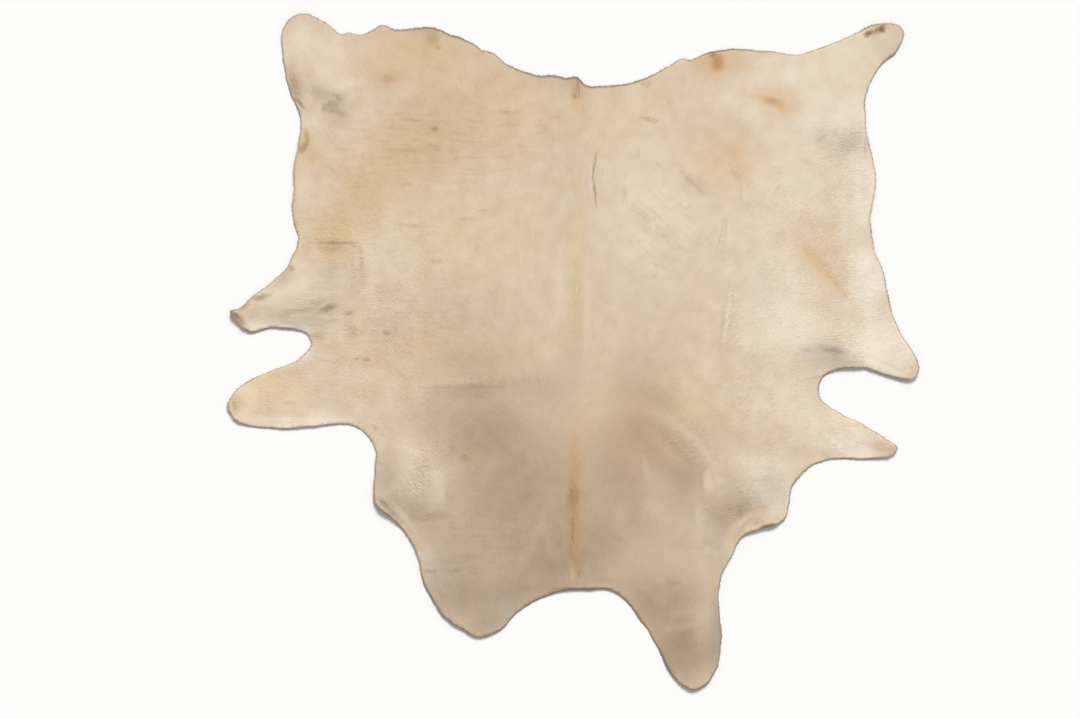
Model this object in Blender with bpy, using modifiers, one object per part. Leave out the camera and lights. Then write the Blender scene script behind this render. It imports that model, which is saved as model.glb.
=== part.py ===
"""A whole cowhide with its hair on, trimmed round the edge and laid out flat.

The rump is at +Y and the neck at -Y, with the hair side up. The origin is on the floor under the
middle of the hide. Metres throughout; the tables below are in millimetres, as a tanner measures.
"""

import math

import bmesh
import bpy
import numpy as np
from mathutils import Vector
from mathutils.geometry import delaunay_2d_cdt

MM = 0.001

# Driving sizes
THICKNESS = 3.0  # the leather and the root of its hair
HAIR_REACH = 2.5  # how far the hair lies past the trimmed leather
EDGE_STEP = 24.0  # spacing of the points along the trimmed edge
GRID_STEP = 46.0  # spacing of the points inside it
FOLD_STEP = 30.0  # spacing of the points along a fold
FOLD_GAP = 0.45 * FOLD_STEP  # the least distance between two points of the folds
GRID_GAP = 0.7 * GRID_STEP  # the least distance from a point of the grid to any other
EDGE_GAP = 0.55 * EDGE_STEP  # the least distance from a point inside to the edge
MERGE_DISTANCE = 0.001  # points closer than this are one
SEAT_CLEARANCE = 0.02  # relief lower than this is flat on the floor
FOLD_TAPER = 0.04  # the share of a fold at each end over which its height stays the same

# Short cream hair over leather: pale, and nearly matt
HAIR_COLOUR = (0.68, 0.53, 0.37, 1)
HAIR_ROUGHNESS = 0.75

# The trimmed edge, clockwise from the left hind shank. A row is one stretch of it: its name, then
# its points, each measured across and along from the middle of the hide.
EDGE = (
    ("left hind shank", (
        (-930, 975), (-927, 1028), (-900, 1066), (-862, 1081), (-825, 1068), (-770, 1039),
        (-740, 1015), (-713, 1020), (-675, 1013), (-640, 1030), (-605, 1045), (-565, 1029),
        (-510, 1035), (-447, 1038),
    )),
    ("rump", (
        (-397, 1017), (-338, 998), (-290, 966), (-250, 951), (-210, 921), (-158, 899),
        (-117, 884), (-63, 884), (-15, 876), (13, 878), (28, 864), (52, 850), (107, 849),
        (180, 859), (253, 886), (308, 914), (350, 938), (372, 933), (433, 959), (510, 968),
        (600, 963), (690, 951), (733, 952),
    )),
    ("right hind shank", (
        (782, 970), (846, 992), (914, 1023), (953, 1043), (997, 1050), (1046, 1040),
        (1057, 1020), (1048, 985), (1028, 950), (993, 923), (965, 886), (944, 843),
        (935, 785), (940, 695), (957, 630),
    )),
    ("right belly", (
        (967, 576), (966, 522), (957, 464), (950, 419), (957, 368), (966, 323), (990, 265),
        (1009, 176), (1040, 75), (1087, 2), (1104, -45), (1097, -77), (1072, -88),
        (1000, -73), (947, -55), (887, -49), (833, -60), (803, -75), (785, -115),
    )),
    ("right lower fore flap", (
        (790, -148), (838, -186), (907, -221), (960, -249), (1009, -282), (1035, -297),
        (1040, -312), (1020, -330), (950, -341), (823, -343), (775, -359), (735, -389),
        (700, -435), (690, -480), (682, -522), (657, -549), (573, -573), (537, -592),
        (508, -651), (478, -712), (466, -765),
    )),
    ("right cheek", (
        (471, -835), (476, -890), (473, -960), (455, -1024), (423, -1062), (384, -1079),
        (338, -1055), (298, -1003), (251, -907), (215, -855), (180, -808), (145, -775),
        (107, -759), (62, -761), (18, -758), (-25, -763), (-68, -776), (-167, -825),
    )),
    ("left cheek", (
        (-220, -879), (-270, -907), (-310, -908), (-380, -870), (-420, -835), (-460, -767),
        (-481, -720), (-495, -652), (-533, -579), (-585, -525), (-622, -496), (-635, -460),
        (-633, -392), (-630, -320), (-646, -279), (-685, -243), (-740, -232),
    )),
    ("left lower fore flap", (
        (-816, -237), (-900, -244), (-981, -242), (-1040, -235), (-1085, -210),
        (-1101, -172), (-1085, -133), (-1040, -95), (-967, -62), (-895, -34), (-855, -2),
        (-835, 30), (-848, 57),
    )),
    ("left upper fore flap", (
        (-890, 72), (-957, 80), (-1028, 64), (-1053, 76), (-1093, 130), (-1068, 137),
        (-1021, 181), (-972, 216), (-930, 252), (-907, 279), (-896, 308), (-880, 334),
        (-878, 370),
    )),
    ("left belly", (
        (-890, 415), (-897, 470), (-888, 529), (-892, 578), (-876, 660), (-869, 715),
        (-878, 771), (-902, 825), (-922, 905),
    )),
)

# Places where the hide stands up off the floor, because the animal was round there. A row is one
# swell: its middle, half its length and width, the turn of its length from +X, and its height.
# name, across, along, half length, half width, turn in degrees, height
SWELLS = (
    ("left shoulder pouch", -463, -402, 150, 108, 62, 25),
    ("left shoulder edge", -560, -480, 110, 55, 40, 13),
    ("right shoulder pouch", 565, -418, 160, 108, 24, 27),
    ("right shoulder neck side", 432, -490, 125, 50, 84, 13),
    ("left upper flap root", -845, 135, 180, 70, 14, 11),
    ("left upper flap", -985, 135, 110, 50, 38, 10),
    ("left lower flap", -960, -150, 130, 60, 20, 7),
    ("right upper flap root", 850, 25, 150, 75, 160, 12),
    ("right upper flap", 1010, -10, 110, 55, 118, 10),
    ("right lower flap", 880, -275, 160, 45, 158, 8),
    ("left hind shank", -850, 950, 130, 60, 75, 9),
    ("left hind fold", -745, 795, 110, 60, 140, 9),
    ("left hip", -590, 880, 80, 55, 0, 6),
    ("right hind shank", 990, 1000, 100, 45, 30, 9),
    ("right hind fold", 870, 700, 120, 75, 15, 9),
    ("left cheek", -400, -800, 130, 75, 130, 8),
    ("right cheek", 395, -950, 150, 65, 100, 9),
    ("left of the neck", -190, -580, 150, 70, 80, 5),
    ("right of the neck", 230, -560, 190, 70, 100, 6),
)

# Folds: soft ridges left by storage and by the animal's skin. A row is one fold: its two ends, how
# far its middle bows to the left of the line between them, half its width, and its height.
# name, across, along, across, along, bow, half width, height
FOLDS = (
    ("shoulder line, left", -480, -114, -60, -104, 6, 30, 7),
    ("shoulder line, right", 300, -98, 570, -92, 6, 30, 4),
    ("left flank line", -825, 346, -668, 350, 7, 28, 6),
    ("left flank turn", -668, 350, -670, 195, -6, 28, 5),
    ("left flank second turn", -756, 320, -752, 200, 4, 26, 4),
    ("right flank line", 507, 265, 484, 15, 6, 28, 6),
    ("right side wrinkle", 490, 435, 455, 292, -4, 26, 5),
    ("loin crease", 76, 640, 78, 470, -14, 24, 7),
    ("backbone", 8, 830, 12, 110, 5, 28, 4),
    ("neck ridge", 2, -250, 6, -740, -5, 28, 5),
    ("rump wrinkle", 325, 586, 435, 500, 7, 26, 6),
    ("hip wrinkle", 210, 748, 290, 728, 5, 24, 4),
    ("thigh wrinkle", 512, 588, 552, 538, 4, 26, 5),
    ("back wrinkle", 211, 660, 205, 605, 3, 24, 4),
    ("loin wrinkle", 156, 525, 400, 316, -24, 28, 5),
    ("neck step", 262, -146, 480, -372, 8, 42, 10),
    ("right pouch lip", 446, -384, 398, -560, -12, 26, 9),
    ("right pouch crown", 450, -395, 650, -368, 22, 34, 8),
    ("right neck wrinkle", 396, -600, 470, -655, 6, 24, 5),
    ("left pouch lip", -372, -372, -402, -505, 16, 30, 9),
    ("left pouch crown", -575, -302, -455, -334, 8, 30, 7),
    ("left flap furrow", -990, 92, -740, 120, 8, 28, 7),
    ("left flap second furrow", -930, 190, -770, 160, -6, 26, 5),
    ("right flap furrow", 760, 30, 960, -20, -10, 28, 7),
    ("left neck line", -98, -512, -162, -745, 4, 26, 4),
    ("right neck line", -92, -512, -50, -680, -4, 24, 3),
    ("left cheek line", -482, -700, -354, -704, 4, 24, 4),
    ("right cheek band", 255, -862, 455, -880, 8, 34, 4),
)

# Stretches of the edge that curl up off the floor. A row is one curl: where it is, how far it
# reaches along the edge, and how high the edge stands there.
# name, across, along, reach, height
CURLS = (
    ("left upper flap tip", -1085, 110, 110, 15),
    ("left upper flap top", -950, 235, 120, 6),
    ("left lower flap tip", -1100, -170, 130, 10),
    ("left lower flap underside", -850, -240, 170, 6),
    ("left shoulder edge", -620, -480, 130, 14),
    ("left neck edge", -500, -640, 130, 8),
    ("left cheek", -310, -905, 190, 9),
    ("neck edge", 30, -750, 190, 7),
    ("right cheek", 390, -1075, 170, 10),
    ("right neck edge", 490, -690, 140, 7),
    ("right shoulder edge", 620, -560, 140, 16),
    ("right lower flap tip", 1035, -305, 130, 10),
    ("right upper flap tip", 1095, -55, 120, 12),
    ("right upper flap underside", 900, -48, 140, 9),
    ("right belly", 955, 420, 190, 6),
    ("right hind shank", 1050, 1030, 130, 11),
    ("rump, right of the tail", 420, 955, 180, 5),
    ("tail root", 20, 872, 80, 6),
    ("rump, left of the tail", -210, 925, 160, 5),
    ("left hind shank", -870, 1078, 150, 11),
    ("left belly", -888, 560, 180, 7),
)
CURL_DEPTH = 70.0  # how far in from the edge a curl starts


def smooth_edge(points, step):
    """Points about a step apart on a centripetal Catmull-Rom curve through a closed outline."""
    places = [Vector(p) for p in points]
    line = []
    for i in range(len(places)):
        p0, p1, p2, p3 = (places[(i + k) % len(places)] for k in (-1, 0, 1, 2))
        t1 = math.sqrt((p1 - p0).length)
        t2 = t1 + math.sqrt((p2 - p1).length)
        t3 = t2 + math.sqrt((p3 - p2).length)
        pieces = max(1, round((p2 - p1).length / step))
        for piece in range(pieces):
            t = t1 + (t2 - t1) * piece / pieces
            a1 = p0.lerp(p1, t / t1)
            a2 = p1.lerp(p2, (t - t1) / (t2 - t1))
            a3 = p2.lerp(p3, (t - t2) / (t3 - t2))
            b1 = a1.lerp(a2, t / t2)
            b2 = a2.lerp(a3, (t - t1) / (t3 - t1))
            line.append(b1.lerp(b2, (t - t1) / (t2 - t1)))
    return np.array(line)


def hair_line(edge):
    """The line that the hair's tips reach, just outside the trimmed edge."""
    run = np.roll(edge, -1, axis=0) - np.roll(edge, 1, axis=0)
    outward = np.column_stack((-run[:, 1], run[:, 0])) / np.hypot(*run.T)[:, None]
    return edge + outward * HAIR_REACH


def bump(distance):
    """1 in the middle, falling smoothly to 0 at a distance of 1."""
    return np.clip(1 - distance**2, 0, None) ** 2


def fold_line(fold):
    """Points along a fold's crest, a fold step apart."""
    _, x0, y0, x1, y1, bow, _, _ = fold
    start = np.array((x0, y0), float)
    end = np.array((x1, y1), float)
    along = end - start
    left = np.array((-along[1], along[0])) / np.hypot(*along)
    t = np.linspace(0, 1, max(3, round(np.hypot(*along) / FOLD_STEP)))[:, None]
    return start + along * t + left * bow * 4 * t * (1 - t)


def distance_to_line(points, line):
    """Each point's distance to an open line, and how far along it the nearest place is, 0 to 1."""
    best = np.full(len(points), np.inf)
    share = np.zeros(len(points))
    for i in range(len(line) - 1):
        run = line[i + 1] - line[i]
        t = np.clip((points - line[i]) @ run / (run @ run), 0, 1)
        away = np.hypot(*(points - line[i] - t[:, None] * run).T)
        share = np.where(away < best, (i + t) / (len(line) - 1), share)
        best = np.minimum(best, away)
    return best, share


def relief(points, edge):
    """How high the hide's underside stands off the floor at each point."""
    height = np.zeros(len(points))
    for _, x, y, half_length, half_width, turn, rise in SWELLS:
        angle = math.radians(turn)
        dx, dy = points[:, 0] - x, points[:, 1] - y
        u = (dx * math.cos(angle) + dy * math.sin(angle)) / half_length
        v = (dy * math.cos(angle) - dx * math.sin(angle)) / half_width
        height += rise * bump(np.hypot(u, v))
    for fold in FOLDS:
        half_width, rise = fold[-2:]
        away, share = distance_to_line(points, fold_line(fold))
        taper = np.sin(math.pi * np.clip(share, FOLD_TAPER, 1 - FOLD_TAPER))
        height += rise * bump(away / half_width) * taper
    closed = np.vstack((edge, edge[:1]))
    inward, _ = distance_to_line(points, closed)
    for _, x, y, reach, rise in CURLS:
        away = np.hypot(points[:, 0] - x, points[:, 1] - y)
        height += rise * bump(away / reach) * np.clip(1 - inward / CURL_DEPTH, 0, None) ** 2
    return np.where(height < SEAT_CLEARANCE, 0, height)


def inside(points, edge):
    """Which points lie within the closed edge, by counting the edges to the right of each."""
    crossings = np.zeros(len(points), int)
    for (x0, y0), (x1, y1) in zip(edge, np.roll(edge, -1, axis=0)):
        spans = (y0 > points[:, 1]) != (y1 > points[:, 1])
        rise = y1 - y0 if y1 != y0 else 1.0
        x = x0 + (points[:, 1] - y0) * (x1 - x0) / rise
        crossings += spans & (points[:, 0] < x)
    return crossings % 2 == 1


def inner_points(edge):
    """A staggered grid inside the edge, with each fold's crest and feet set into it."""
    low, high = edge.min(axis=0), edge.max(axis=0)
    rows = np.arange(low[1], high[1], GRID_STEP * math.sqrt(0.75))
    grid = [
        (x + GRID_STEP / 2 * (row % 2), y)
        for row, y in enumerate(rows)
        for x in np.arange(low[0], high[0], GRID_STEP)
    ]
    chosen = []
    for fold in FOLDS:
        line = fold_line(fold)
        half_width = fold[-2]
        run = np.gradient(line, axis=0)
        side = np.column_stack((-run[:, 1], run[:, 0])) / np.hypot(*run.T)[:, None]
        for offset in (0, half_width / 2, -half_width / 2, half_width, -half_width):
            chosen.extend(line + side * offset)
    kept = spaced(np.array(chosen), np.empty((0, 2)), FOLD_GAP)
    kept = spaced(np.array(grid), kept, GRID_GAP)
    clear, _ = distance_to_line(kept, np.vstack((edge, edge[:1])))
    return kept[inside(kept, edge) & (clear > EDGE_GAP)]


def spaced(candidates, kept, gap):
    """The kept points, and each candidate that lies at least a gap from all taken before it."""
    kept = list(kept)
    for point in candidates:
        if not kept or np.min(np.hypot(*(np.array(kept) - point).T)) >= gap:
            kept.append(point)
    return np.array(kept)


def hide_mesh():
    """The hide's underside as an open sheet, meshed within its trimmed edge."""
    edge = hair_line(smooth_edge([p for _, stretch in EDGE for p in stretch], EDGE_STEP))
    points = np.vstack((edge, inner_points(edge)))
    rim = [(i, (i + 1) % len(edge)) for i in range(len(edge))]
    flat, _, faces, *_ = delaunay_2d_cdt([Vector(p) for p in points], rim, [], 1, MERGE_DISTANCE)
    flat = np.array(flat)
    heights = relief(flat, edge)
    middle = (flat.min(axis=0) + flat.max(axis=0)) / 2
    mesh = bpy.data.meshes.new("hide")
    places = np.column_stack((flat - middle, heights)) * MM
    mesh.from_pydata([Vector(p) for p in places], [], faces)
    sheet = bmesh.new()
    sheet.from_mesh(mesh)
    bmesh.ops.recalc_face_normals(sheet, faces=sheet.faces)
    if sum(f.normal.z for f in sheet.faces) < 0:
        bmesh.ops.reverse_faces(sheet, faces=sheet.faces)
    sheet.to_mesh(mesh)
    sheet.free()
    return mesh


def cream_hair():
    """The hide's one finish."""
    material = bpy.data.materials.new("cream cowhide")
    material.use_nodes = True
    shader = material.node_tree.nodes["Principled BSDF"]
    shader.inputs["Base Color"].default_value = HAIR_COLOUR
    shader.inputs["Roughness"].default_value = HAIR_ROUGHNESS
    shader.inputs["Metallic"].default_value = 0.0
    return material


def clear_scene():
    """Starts from an empty scene."""
    for item in list(bpy.data.objects):
        bpy.data.objects.remove(item, do_unlink=True)


def make_hide():
    """The hide: its underside given the thickness of the leather and its hair, upwards."""
    rug = bpy.data.collections.new("cowhide")
    bpy.context.scene.collection.children.link(rug)
    hide = bpy.data.objects.new("hide", hide_mesh())
    hide.data.materials.append(cream_hair())
    rug.objects.link(hide)
    leather = hide.modifiers.new("leather", "SOLIDIFY")
    leather.thickness = THICKNESS * MM
    leather.offset = 1
    for face in hide.data.polygons:
        face.use_smooth = True


clear_scene()
make_hide()
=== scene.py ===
"""A whole cream cowhide, tanned with its hair on, laid out flat with its rump at +Y.

Metres. The tables of places are in millimetres, measured across and along from the middle of
the hide.
"""

import math

import bmesh
import bpy
import numpy as np
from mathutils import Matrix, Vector, noise
from mathutils.bvhtree import BVHTree
from mathutils.geometry import delaunay_2d_cdt
from mathutils.kdtree import KDTree


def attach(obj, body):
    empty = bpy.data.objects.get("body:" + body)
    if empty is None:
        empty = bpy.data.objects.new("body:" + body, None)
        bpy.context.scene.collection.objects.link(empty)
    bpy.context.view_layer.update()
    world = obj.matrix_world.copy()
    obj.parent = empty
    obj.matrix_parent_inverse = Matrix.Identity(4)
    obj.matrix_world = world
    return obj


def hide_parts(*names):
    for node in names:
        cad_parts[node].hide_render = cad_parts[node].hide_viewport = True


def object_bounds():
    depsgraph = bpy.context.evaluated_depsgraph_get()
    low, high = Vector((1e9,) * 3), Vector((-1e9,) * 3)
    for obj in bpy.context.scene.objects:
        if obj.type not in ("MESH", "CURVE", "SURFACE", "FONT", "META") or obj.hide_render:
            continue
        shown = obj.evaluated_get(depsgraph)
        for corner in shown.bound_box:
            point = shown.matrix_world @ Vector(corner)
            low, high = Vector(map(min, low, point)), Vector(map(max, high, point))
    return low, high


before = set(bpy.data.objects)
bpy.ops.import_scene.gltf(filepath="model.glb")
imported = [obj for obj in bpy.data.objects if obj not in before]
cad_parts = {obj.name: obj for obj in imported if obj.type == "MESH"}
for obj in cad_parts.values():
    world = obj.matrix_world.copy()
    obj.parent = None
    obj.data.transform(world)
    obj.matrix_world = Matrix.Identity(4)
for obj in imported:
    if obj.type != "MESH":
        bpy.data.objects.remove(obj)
cad_low, cad_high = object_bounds()

# ---------------------------------------------------------------------------------------------
# The leather. One cowhide, tanned soft and shaved on its flesh side to about 2 mm. Its edge is cut
# by hand with a knife, so the line wavers a little. Its skin keeps the folds of the legs and neck.
# ---------------------------------------------------------------------------------------------
MM = 0.001
LEATHER_THICKNESS = 2.2 * MM
HAIR_PAST_THE_CUT = 2.5 * MM  # how far the hair hides the cut edge
KNIFE_WAVER = 1.1 * MM
WAVER_RUN = 5  # how many points of the edge one waver of the knife takes
EDGE_STEP = 8 * MM  # spacing of the edge's points
CURVE_STEPS = 8  # how many short lines stand for the curve between two points of the rim
SKIN_STEP = 12 * MM  # spacing of the skin's points where it lies smooth
CREASE_STEP = SKIN_STEP / 2
ROW_STEP = CREASE_STEP * math.sqrt(0.75)  # between rows of points, so that the triangles are even
JITTER = 0.12  # how far a point strays from its even place, as a share of the spacing
SKIN_SEED = 11
EDGE_CLEARANCE = 0.75  # the least distance from the edge to a point inside it, in edge steps
FLAT_TOLERANCE = 1e-5  # metres: how close the flat sheet's points are taken for one
INSIDE_ONLY = 1  # the sheet's triangles are those within the cut
WELD = 1e-6  # metres: how close the solid's corners are taken for one
FACING_DOWN = -0.5  # a face whose normal points lower than this is on the floor side
FOLD_STEP = 12 * MM  # spacing at which the folds' heights are read
FOLD_SOFTNESS = 22 * MM  # how far those heights are evened out
FOLD_REACH = 3  # how many times that far a height is felt
FOLD_MARGIN = 4 * FOLD_SOFTNESS

# Creases of the skin, finer than the folds it lies in. A row is one crease: its two ends, how far
# its middle bows to the left of the line between them, half its width, and its height. A trough
# has a height below zero.
# name, across, along, across, along, bow, half width, height
CREASES = (
    ("shoulder line", -458, -108, -68, -108, 3, 20, 0.3),
    ("shoulder line, right", 214, -119, 406, -135, 4, 22, 0.3),
    ("neck step", 249, -183, 431, -366, 6, 40, 0.6),
    ("right pouch fold", 431, -475, 505, -417, 14, 16, 0.4),
    ("right pouch crown", 483, -379, 678, -379, 8, 34, 0.6),
    ("right pouch hollow", 470, -468, 566, -535, -6, 26, -0.2),
    ("right pouch lip", 572, -507, 492, -628, -4, 18, 1.1),
    ("right neck light fold", 403, -468, 406, -609, -4, 20, 0.4),
    ("right neck crease", 316, -615, 451, -654, -4, 18, -0.4),
    ("right neck furrow", 195, -795, 252, -814, 3, 18, -0.6),
    ("right cheek crease", 169, -769, 246, -836, 4, 16, -0.8),
    ("right cheek band", 252, -868, 425, -887, 6, 28, 0.5),
    ("left pouch crown", -605, -321, -452, -305, 6, 28, 0.5),
    ("left pouch second fold", -487, -395, -385, -379, 4, 20, 0.35),
    ("left pouch side", -394, -385, -378, -510, -6, 24, 0.25),
    ("left pouch pocket", -381, -340, -317, -340, 3, 18, -0.35),
    ("left pouch foot", -583, -465, -340, -497, -30, 28, -0.15),
    ("left shoulder lip", -573, -494, -506, -593, 4, 18, 0.7),
    ("left cheek line", -477, -702, -349, -702, 3, 14, -0.4),
    ("left cheek line, first", -519, -599, -445, -599, 2, 14, -0.3),
    ("left neck line", -125, -526, -161, -750, 4, 22, 0.4),
    ("left neck line, right branch", -103, -545, -65, -737, 4, 22, 0.35),
    ("neck backbone", -1, -283, -1, -747, 2, 20, 0.4),
    ("loin crease", 63, 626, 70, 463, -6, 12, -0.5),
    ("loin crease, crest", 52, 620, 55, 469, -6, 12, 0.3),
    ("backbone, loin", 6, 485, 9, 18, 3, 30, -0.4),
    ("right side wrinkle", 450, 292, 484, 442, -4, 16, 0.25),
    ("right side line", 468, -1, 497, 229, 4, 18, 0.4),
    ("hip wrinkle", 204, 749, 284, 735, 4, 13, 0.35),
    ("rump wrinkle", 332, 588, 438, 492, 4, 14, 0.35),
    ("thigh wrinkle", 505, 594, 543, 546, 3, 13, 0.3),
    ("loin wrinkle, second", 179, 469, 249, 412, -3, 14, -0.35),
    ("loin wrinkle, third", 223, 399, 287, 348, -3, 9, -0.35),
    ("loin wrinkle, fourth", 323, 337, 412, 314, -3, 9, -0.3),
    ("thigh wrinkle, foot", 537, 530, 537, 473, 0, 9, -0.25),
    ("flank wrinkle", 595, 482, 652, 437, -2, 9, -0.25),
    ("left flank line", -849, 345, -689, 341, 4, 14, -0.5),
    ("left flank line, crest", -849, 362, -695, 359, 4, 14, 0.2),
    ("left flank turn", -676, 335, -673, 210, -3, 14, -0.25),
    ("left flank second turn", -727, 287, -727, 213, 2, 14, -0.2),
    ("left hip crescent", -637, 873, -538, 879, -12, 20, 0.12),
    ("loin fold, left", -538, 636, -330, 642, 6, 16, 0.6),
    ("rib fold, left", -586, 402, -433, 399, 3, 14, 0.3),
    ("loin fold, upper", -266, 757, -151, 754, 3, 12, 0.6),
    ("left upper flap furrow", -996, 124, -730, 140, -6, 18, -0.8),
    ("left elbow fold", -839, 85, -737, 111, 3, 12, 1),
    ("left flap root fold", -833, 162, -737, 188, 3, 16, 0.8),
    ("left lower flap hem", -1047, -223, -833, -222, 2, 12, 0.8),
    ("left brisket fold", -874, -1, -730, 37, 3, 12, 0.6),
    ("right elbow furrow", 742, 9, 886, -4, -6, 18, -0.9),
    ("right upper flap furrow", 905, -7, 1059, -71, 4, 12, -0.8),
    ("right brisket fold", 694, -94, 886, -62, 4, 12, 0.9),
    ("right lower flap fold", 761, -254, 863, -331, 4, 12, 1.1),
    ("right whorl fold", 745, 655, 841, 687, 4, 18, -0.6),
    ("right flank fold", 703, 380, 899, 133, 6, 30, 0.3),
    ("left whorl fold", -810, 777, -724, 812, 4, 16, -0.3),
)
CREASE_END = 0.6  # how soon a crease dies out towards its ends: the less, the later
LEAST_CREASE = 0.05 * MM  # a crease lower than this needs no closer points
# Where the leather doesn't quite meet the floor: the length, height and seed of its soft waves.
LONG_WAVES = (160 * MM, 1.1 * MM, 3.1)
SHORT_WAVES = (45 * MM, 0.4 * MM, 7.7)


def underside(solid):
    """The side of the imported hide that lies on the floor, as an open sheet."""
    sheet = bmesh.new()
    sheet.from_mesh(solid.data)
    bmesh.ops.remove_doubles(sheet, verts=sheet.verts, dist=WELD)
    upper = [face for face in sheet.faces if face.normal.z > FACING_DOWN]
    bmesh.ops.delete(sheet, geom=upper, context="FACES")
    return sheet


def rim_of(sheet):
    """The points round an open sheet's edge, counterclockwise from above."""
    start = next(edge for edge in sheet.edges if edge.is_boundary).link_loops[0]
    loop, places = start, []
    while not places or loop != start:
        places.append(loop.vert.co.xy)
        loop = loop.link_loop_next
        while not loop.edge.is_boundary:
            loop = loop.link_loop_radial_next.link_loop_next
    rim = np.array(places)
    x, y = rim.T
    area = np.sum(x * np.roll(y, -1) - y * np.roll(x, -1)) / 2
    return rim if area > 0 else rim[::-1]


def evenly_spaced(rim, step):
    """Points a step apart along a smooth closed curve through a rim's points."""
    p0, p1, p2, p3 = (np.roll(rim, shift, axis=0)[:, None] for shift in (1, 0, -1, -2))
    t = np.linspace(0, 1, CURVE_STEPS, endpoint=False)[None, :, None]
    curve = (2 * p1 + (p2 - p0) * t + (2 * p0 - 5 * p1 + 4 * p2 - p3) * t**2
             + (3 * p1 - p0 - 3 * p2 + p3) * t**3) / 2
    curve = curve.reshape(-1, 2)
    closed = np.vstack((curve, curve[:1]))
    run = np.concatenate(([0], np.cumsum(np.hypot(*np.diff(closed, axis=0).T))))
    at = np.linspace(0, run[-1], round(run[-1] / step), endpoint=False)
    return np.column_stack([np.interp(at, run, closed[:, axis]) for axis in (0, 1)])


def outward_of(rim):
    """The direction away from the sheet at each point of a counterclockwise rim."""
    run = np.roll(rim, -1, axis=0) - np.roll(rim, 1, axis=0)
    return np.column_stack((run[:, 1], -run[:, 0])) / np.hypot(*run.T)[:, None]


def inside(points, rim):
    """Which points lie within a closed rim, by counting the stretches to the right of each."""
    crossings = np.zeros(len(points), int)
    for (x0, y0), (x1, y1) in zip(rim, np.roll(rim, -1, axis=0)):
        if y0 == y1:
            continue
        spans = (y0 > points[:, 1]) != (y1 > points[:, 1])
        crossings += spans & (points[:, 0] < x0 + (points[:, 1] - y0) * (x1 - x0) / (y1 - y0))
    return crossings % 2 == 1


def distance_to_points(points, line):
    """Each point's distance to the nearest of a line's points."""
    tree = KDTree(len(line))
    for i, place in enumerate(line):
        tree.insert((*place, 0), i)
    tree.balance()
    return np.array([tree.find((*point, 0))[2] for point in points])


def crease_height(points, crease):
    """How much one crease raises or lowers each point, in metres."""
    _, x0, y0, x1, y1, bow, half_width, rise = crease
    start, end = np.array((x0, y0)) * MM, np.array((x1, y1)) * MM
    run = end - start
    length = np.hypot(*run)
    share = (points - start) @ run / length**2
    across = (points - start) @ np.array((-run[1], run[0])) / length
    across = across - bow * MM * 4 * share * (1 - share)
    section = np.clip(1 - (across / (half_width * MM)) ** 2, 0, None) ** 2
    return rise * MM * section * np.sin(math.pi * np.clip(share, 0, 1)) ** CREASE_END


def fold_height(side, points):
    """How high the folds lift each point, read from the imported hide's floor side and evened out."""
    tree = BVHTree.FromBMesh(side)
    across = np.arange(cad_low.x - FOLD_MARGIN, cad_high.x + FOLD_MARGIN, FOLD_STEP)
    along = np.arange(cad_low.y - FOLD_MARGIN, cad_high.y + FOLD_MARGIN, FOLD_STEP)
    heights = np.zeros((len(along), len(across)))
    for row, y in enumerate(along):
        for column, x in enumerate(across):
            hit = tree.ray_cast(Vector((x, y, 1)), Vector((0, 0, -1)))[0]
            heights[row, column] = hit.z if hit else tree.find_nearest(Vector((x, y, 0)))[0].z
    reach = round(FOLD_REACH * FOLD_SOFTNESS / FOLD_STEP)
    weights = np.exp(-0.5 * (np.arange(-reach, reach + 1) * FOLD_STEP / FOLD_SOFTNESS) ** 2)
    for axis in (0, 1):
        heights = np.apply_along_axis(
            np.convolve, axis, heights, weights / weights.sum(), "same",
        )
    u, v = (points - (across[0], along[0])).T / FOLD_STEP
    column, row = u.astype(int), v.astype(int)
    u, v = u - column, v - row
    lower = (1 - u) * heights[row, column] + u * heights[row, column + 1]
    upper = (1 - u) * heights[row + 1, column] + u * heights[row + 1, column + 1]
    return (1 - v) * lower + v * upper


def waves(points, length, height, seed):
    """Soft waves over the whole sheet, none below zero."""
    level = [noise.noise(Vector((x / length, y / length, seed))) for x, y in points]
    return height * (0.5 + np.array(level)).clip(0, None)


# The cut: a little inside the line of the hair's tips, and wavering.
floor_side = underside(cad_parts["hide"])
rng = np.random.default_rng(SKIN_SEED)
hair_tips = evenly_spaced(rim_of(floor_side), EDGE_STEP)
waver = rng.normal(0, 1, len(hair_tips) + WAVER_RUN - 1)
waver = np.convolve(waver, np.ones(WAVER_RUN) / WAVER_RUN, "valid")
waver = waver / waver.std() * KNIFE_WAVER
cut = hair_tips - outward_of(hair_tips) * (HAIR_PAST_THE_CUT + waver)[:, None]

# Inside it, points as close together as the creases need, of which smooth skin keeps one in four.
row, column = np.mgrid[0:round((cad_high.y - cad_low.y) / ROW_STEP),
                       0:round((cad_high.x - cad_low.x) / CREASE_STEP)]
close = np.column_stack((
    (cad_low.x + CREASE_STEP * (column + row % 2 / 2)).ravel(),
    (cad_low.y + ROW_STEP * row).ravel(),
))
wide_apart = ((row % 2 == 0) & ((column + row // 2) % 2 == 0)).ravel()
creased = sum(abs(crease_height(close, crease)) for crease in CREASES) > LEAST_CREASE
grid = close + rng.uniform(-JITTER, JITTER, close.shape) * CREASE_STEP
grid = grid[wide_apart | creased]
grid = grid[inside(grid, cut)]
grid = grid[distance_to_points(grid, cut) > EDGE_CLEARANCE * EDGE_STEP]
flat, _, faces, *_ = delaunay_2d_cdt(
    [Vector(point) for point in np.vstack((cut, grid))],
    [(i, (i + 1) % len(cut)) for i in range(len(cut))],
    [], INSIDE_ONLY, FLAT_TOLERANCE,
)
flat = np.array(flat)
heights = fold_height(floor_side, flat) + waves(flat, *LONG_WAVES) + waves(flat, *SHORT_WAVES)
heights += sum(crease_height(flat, crease) for crease in CREASES)
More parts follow.
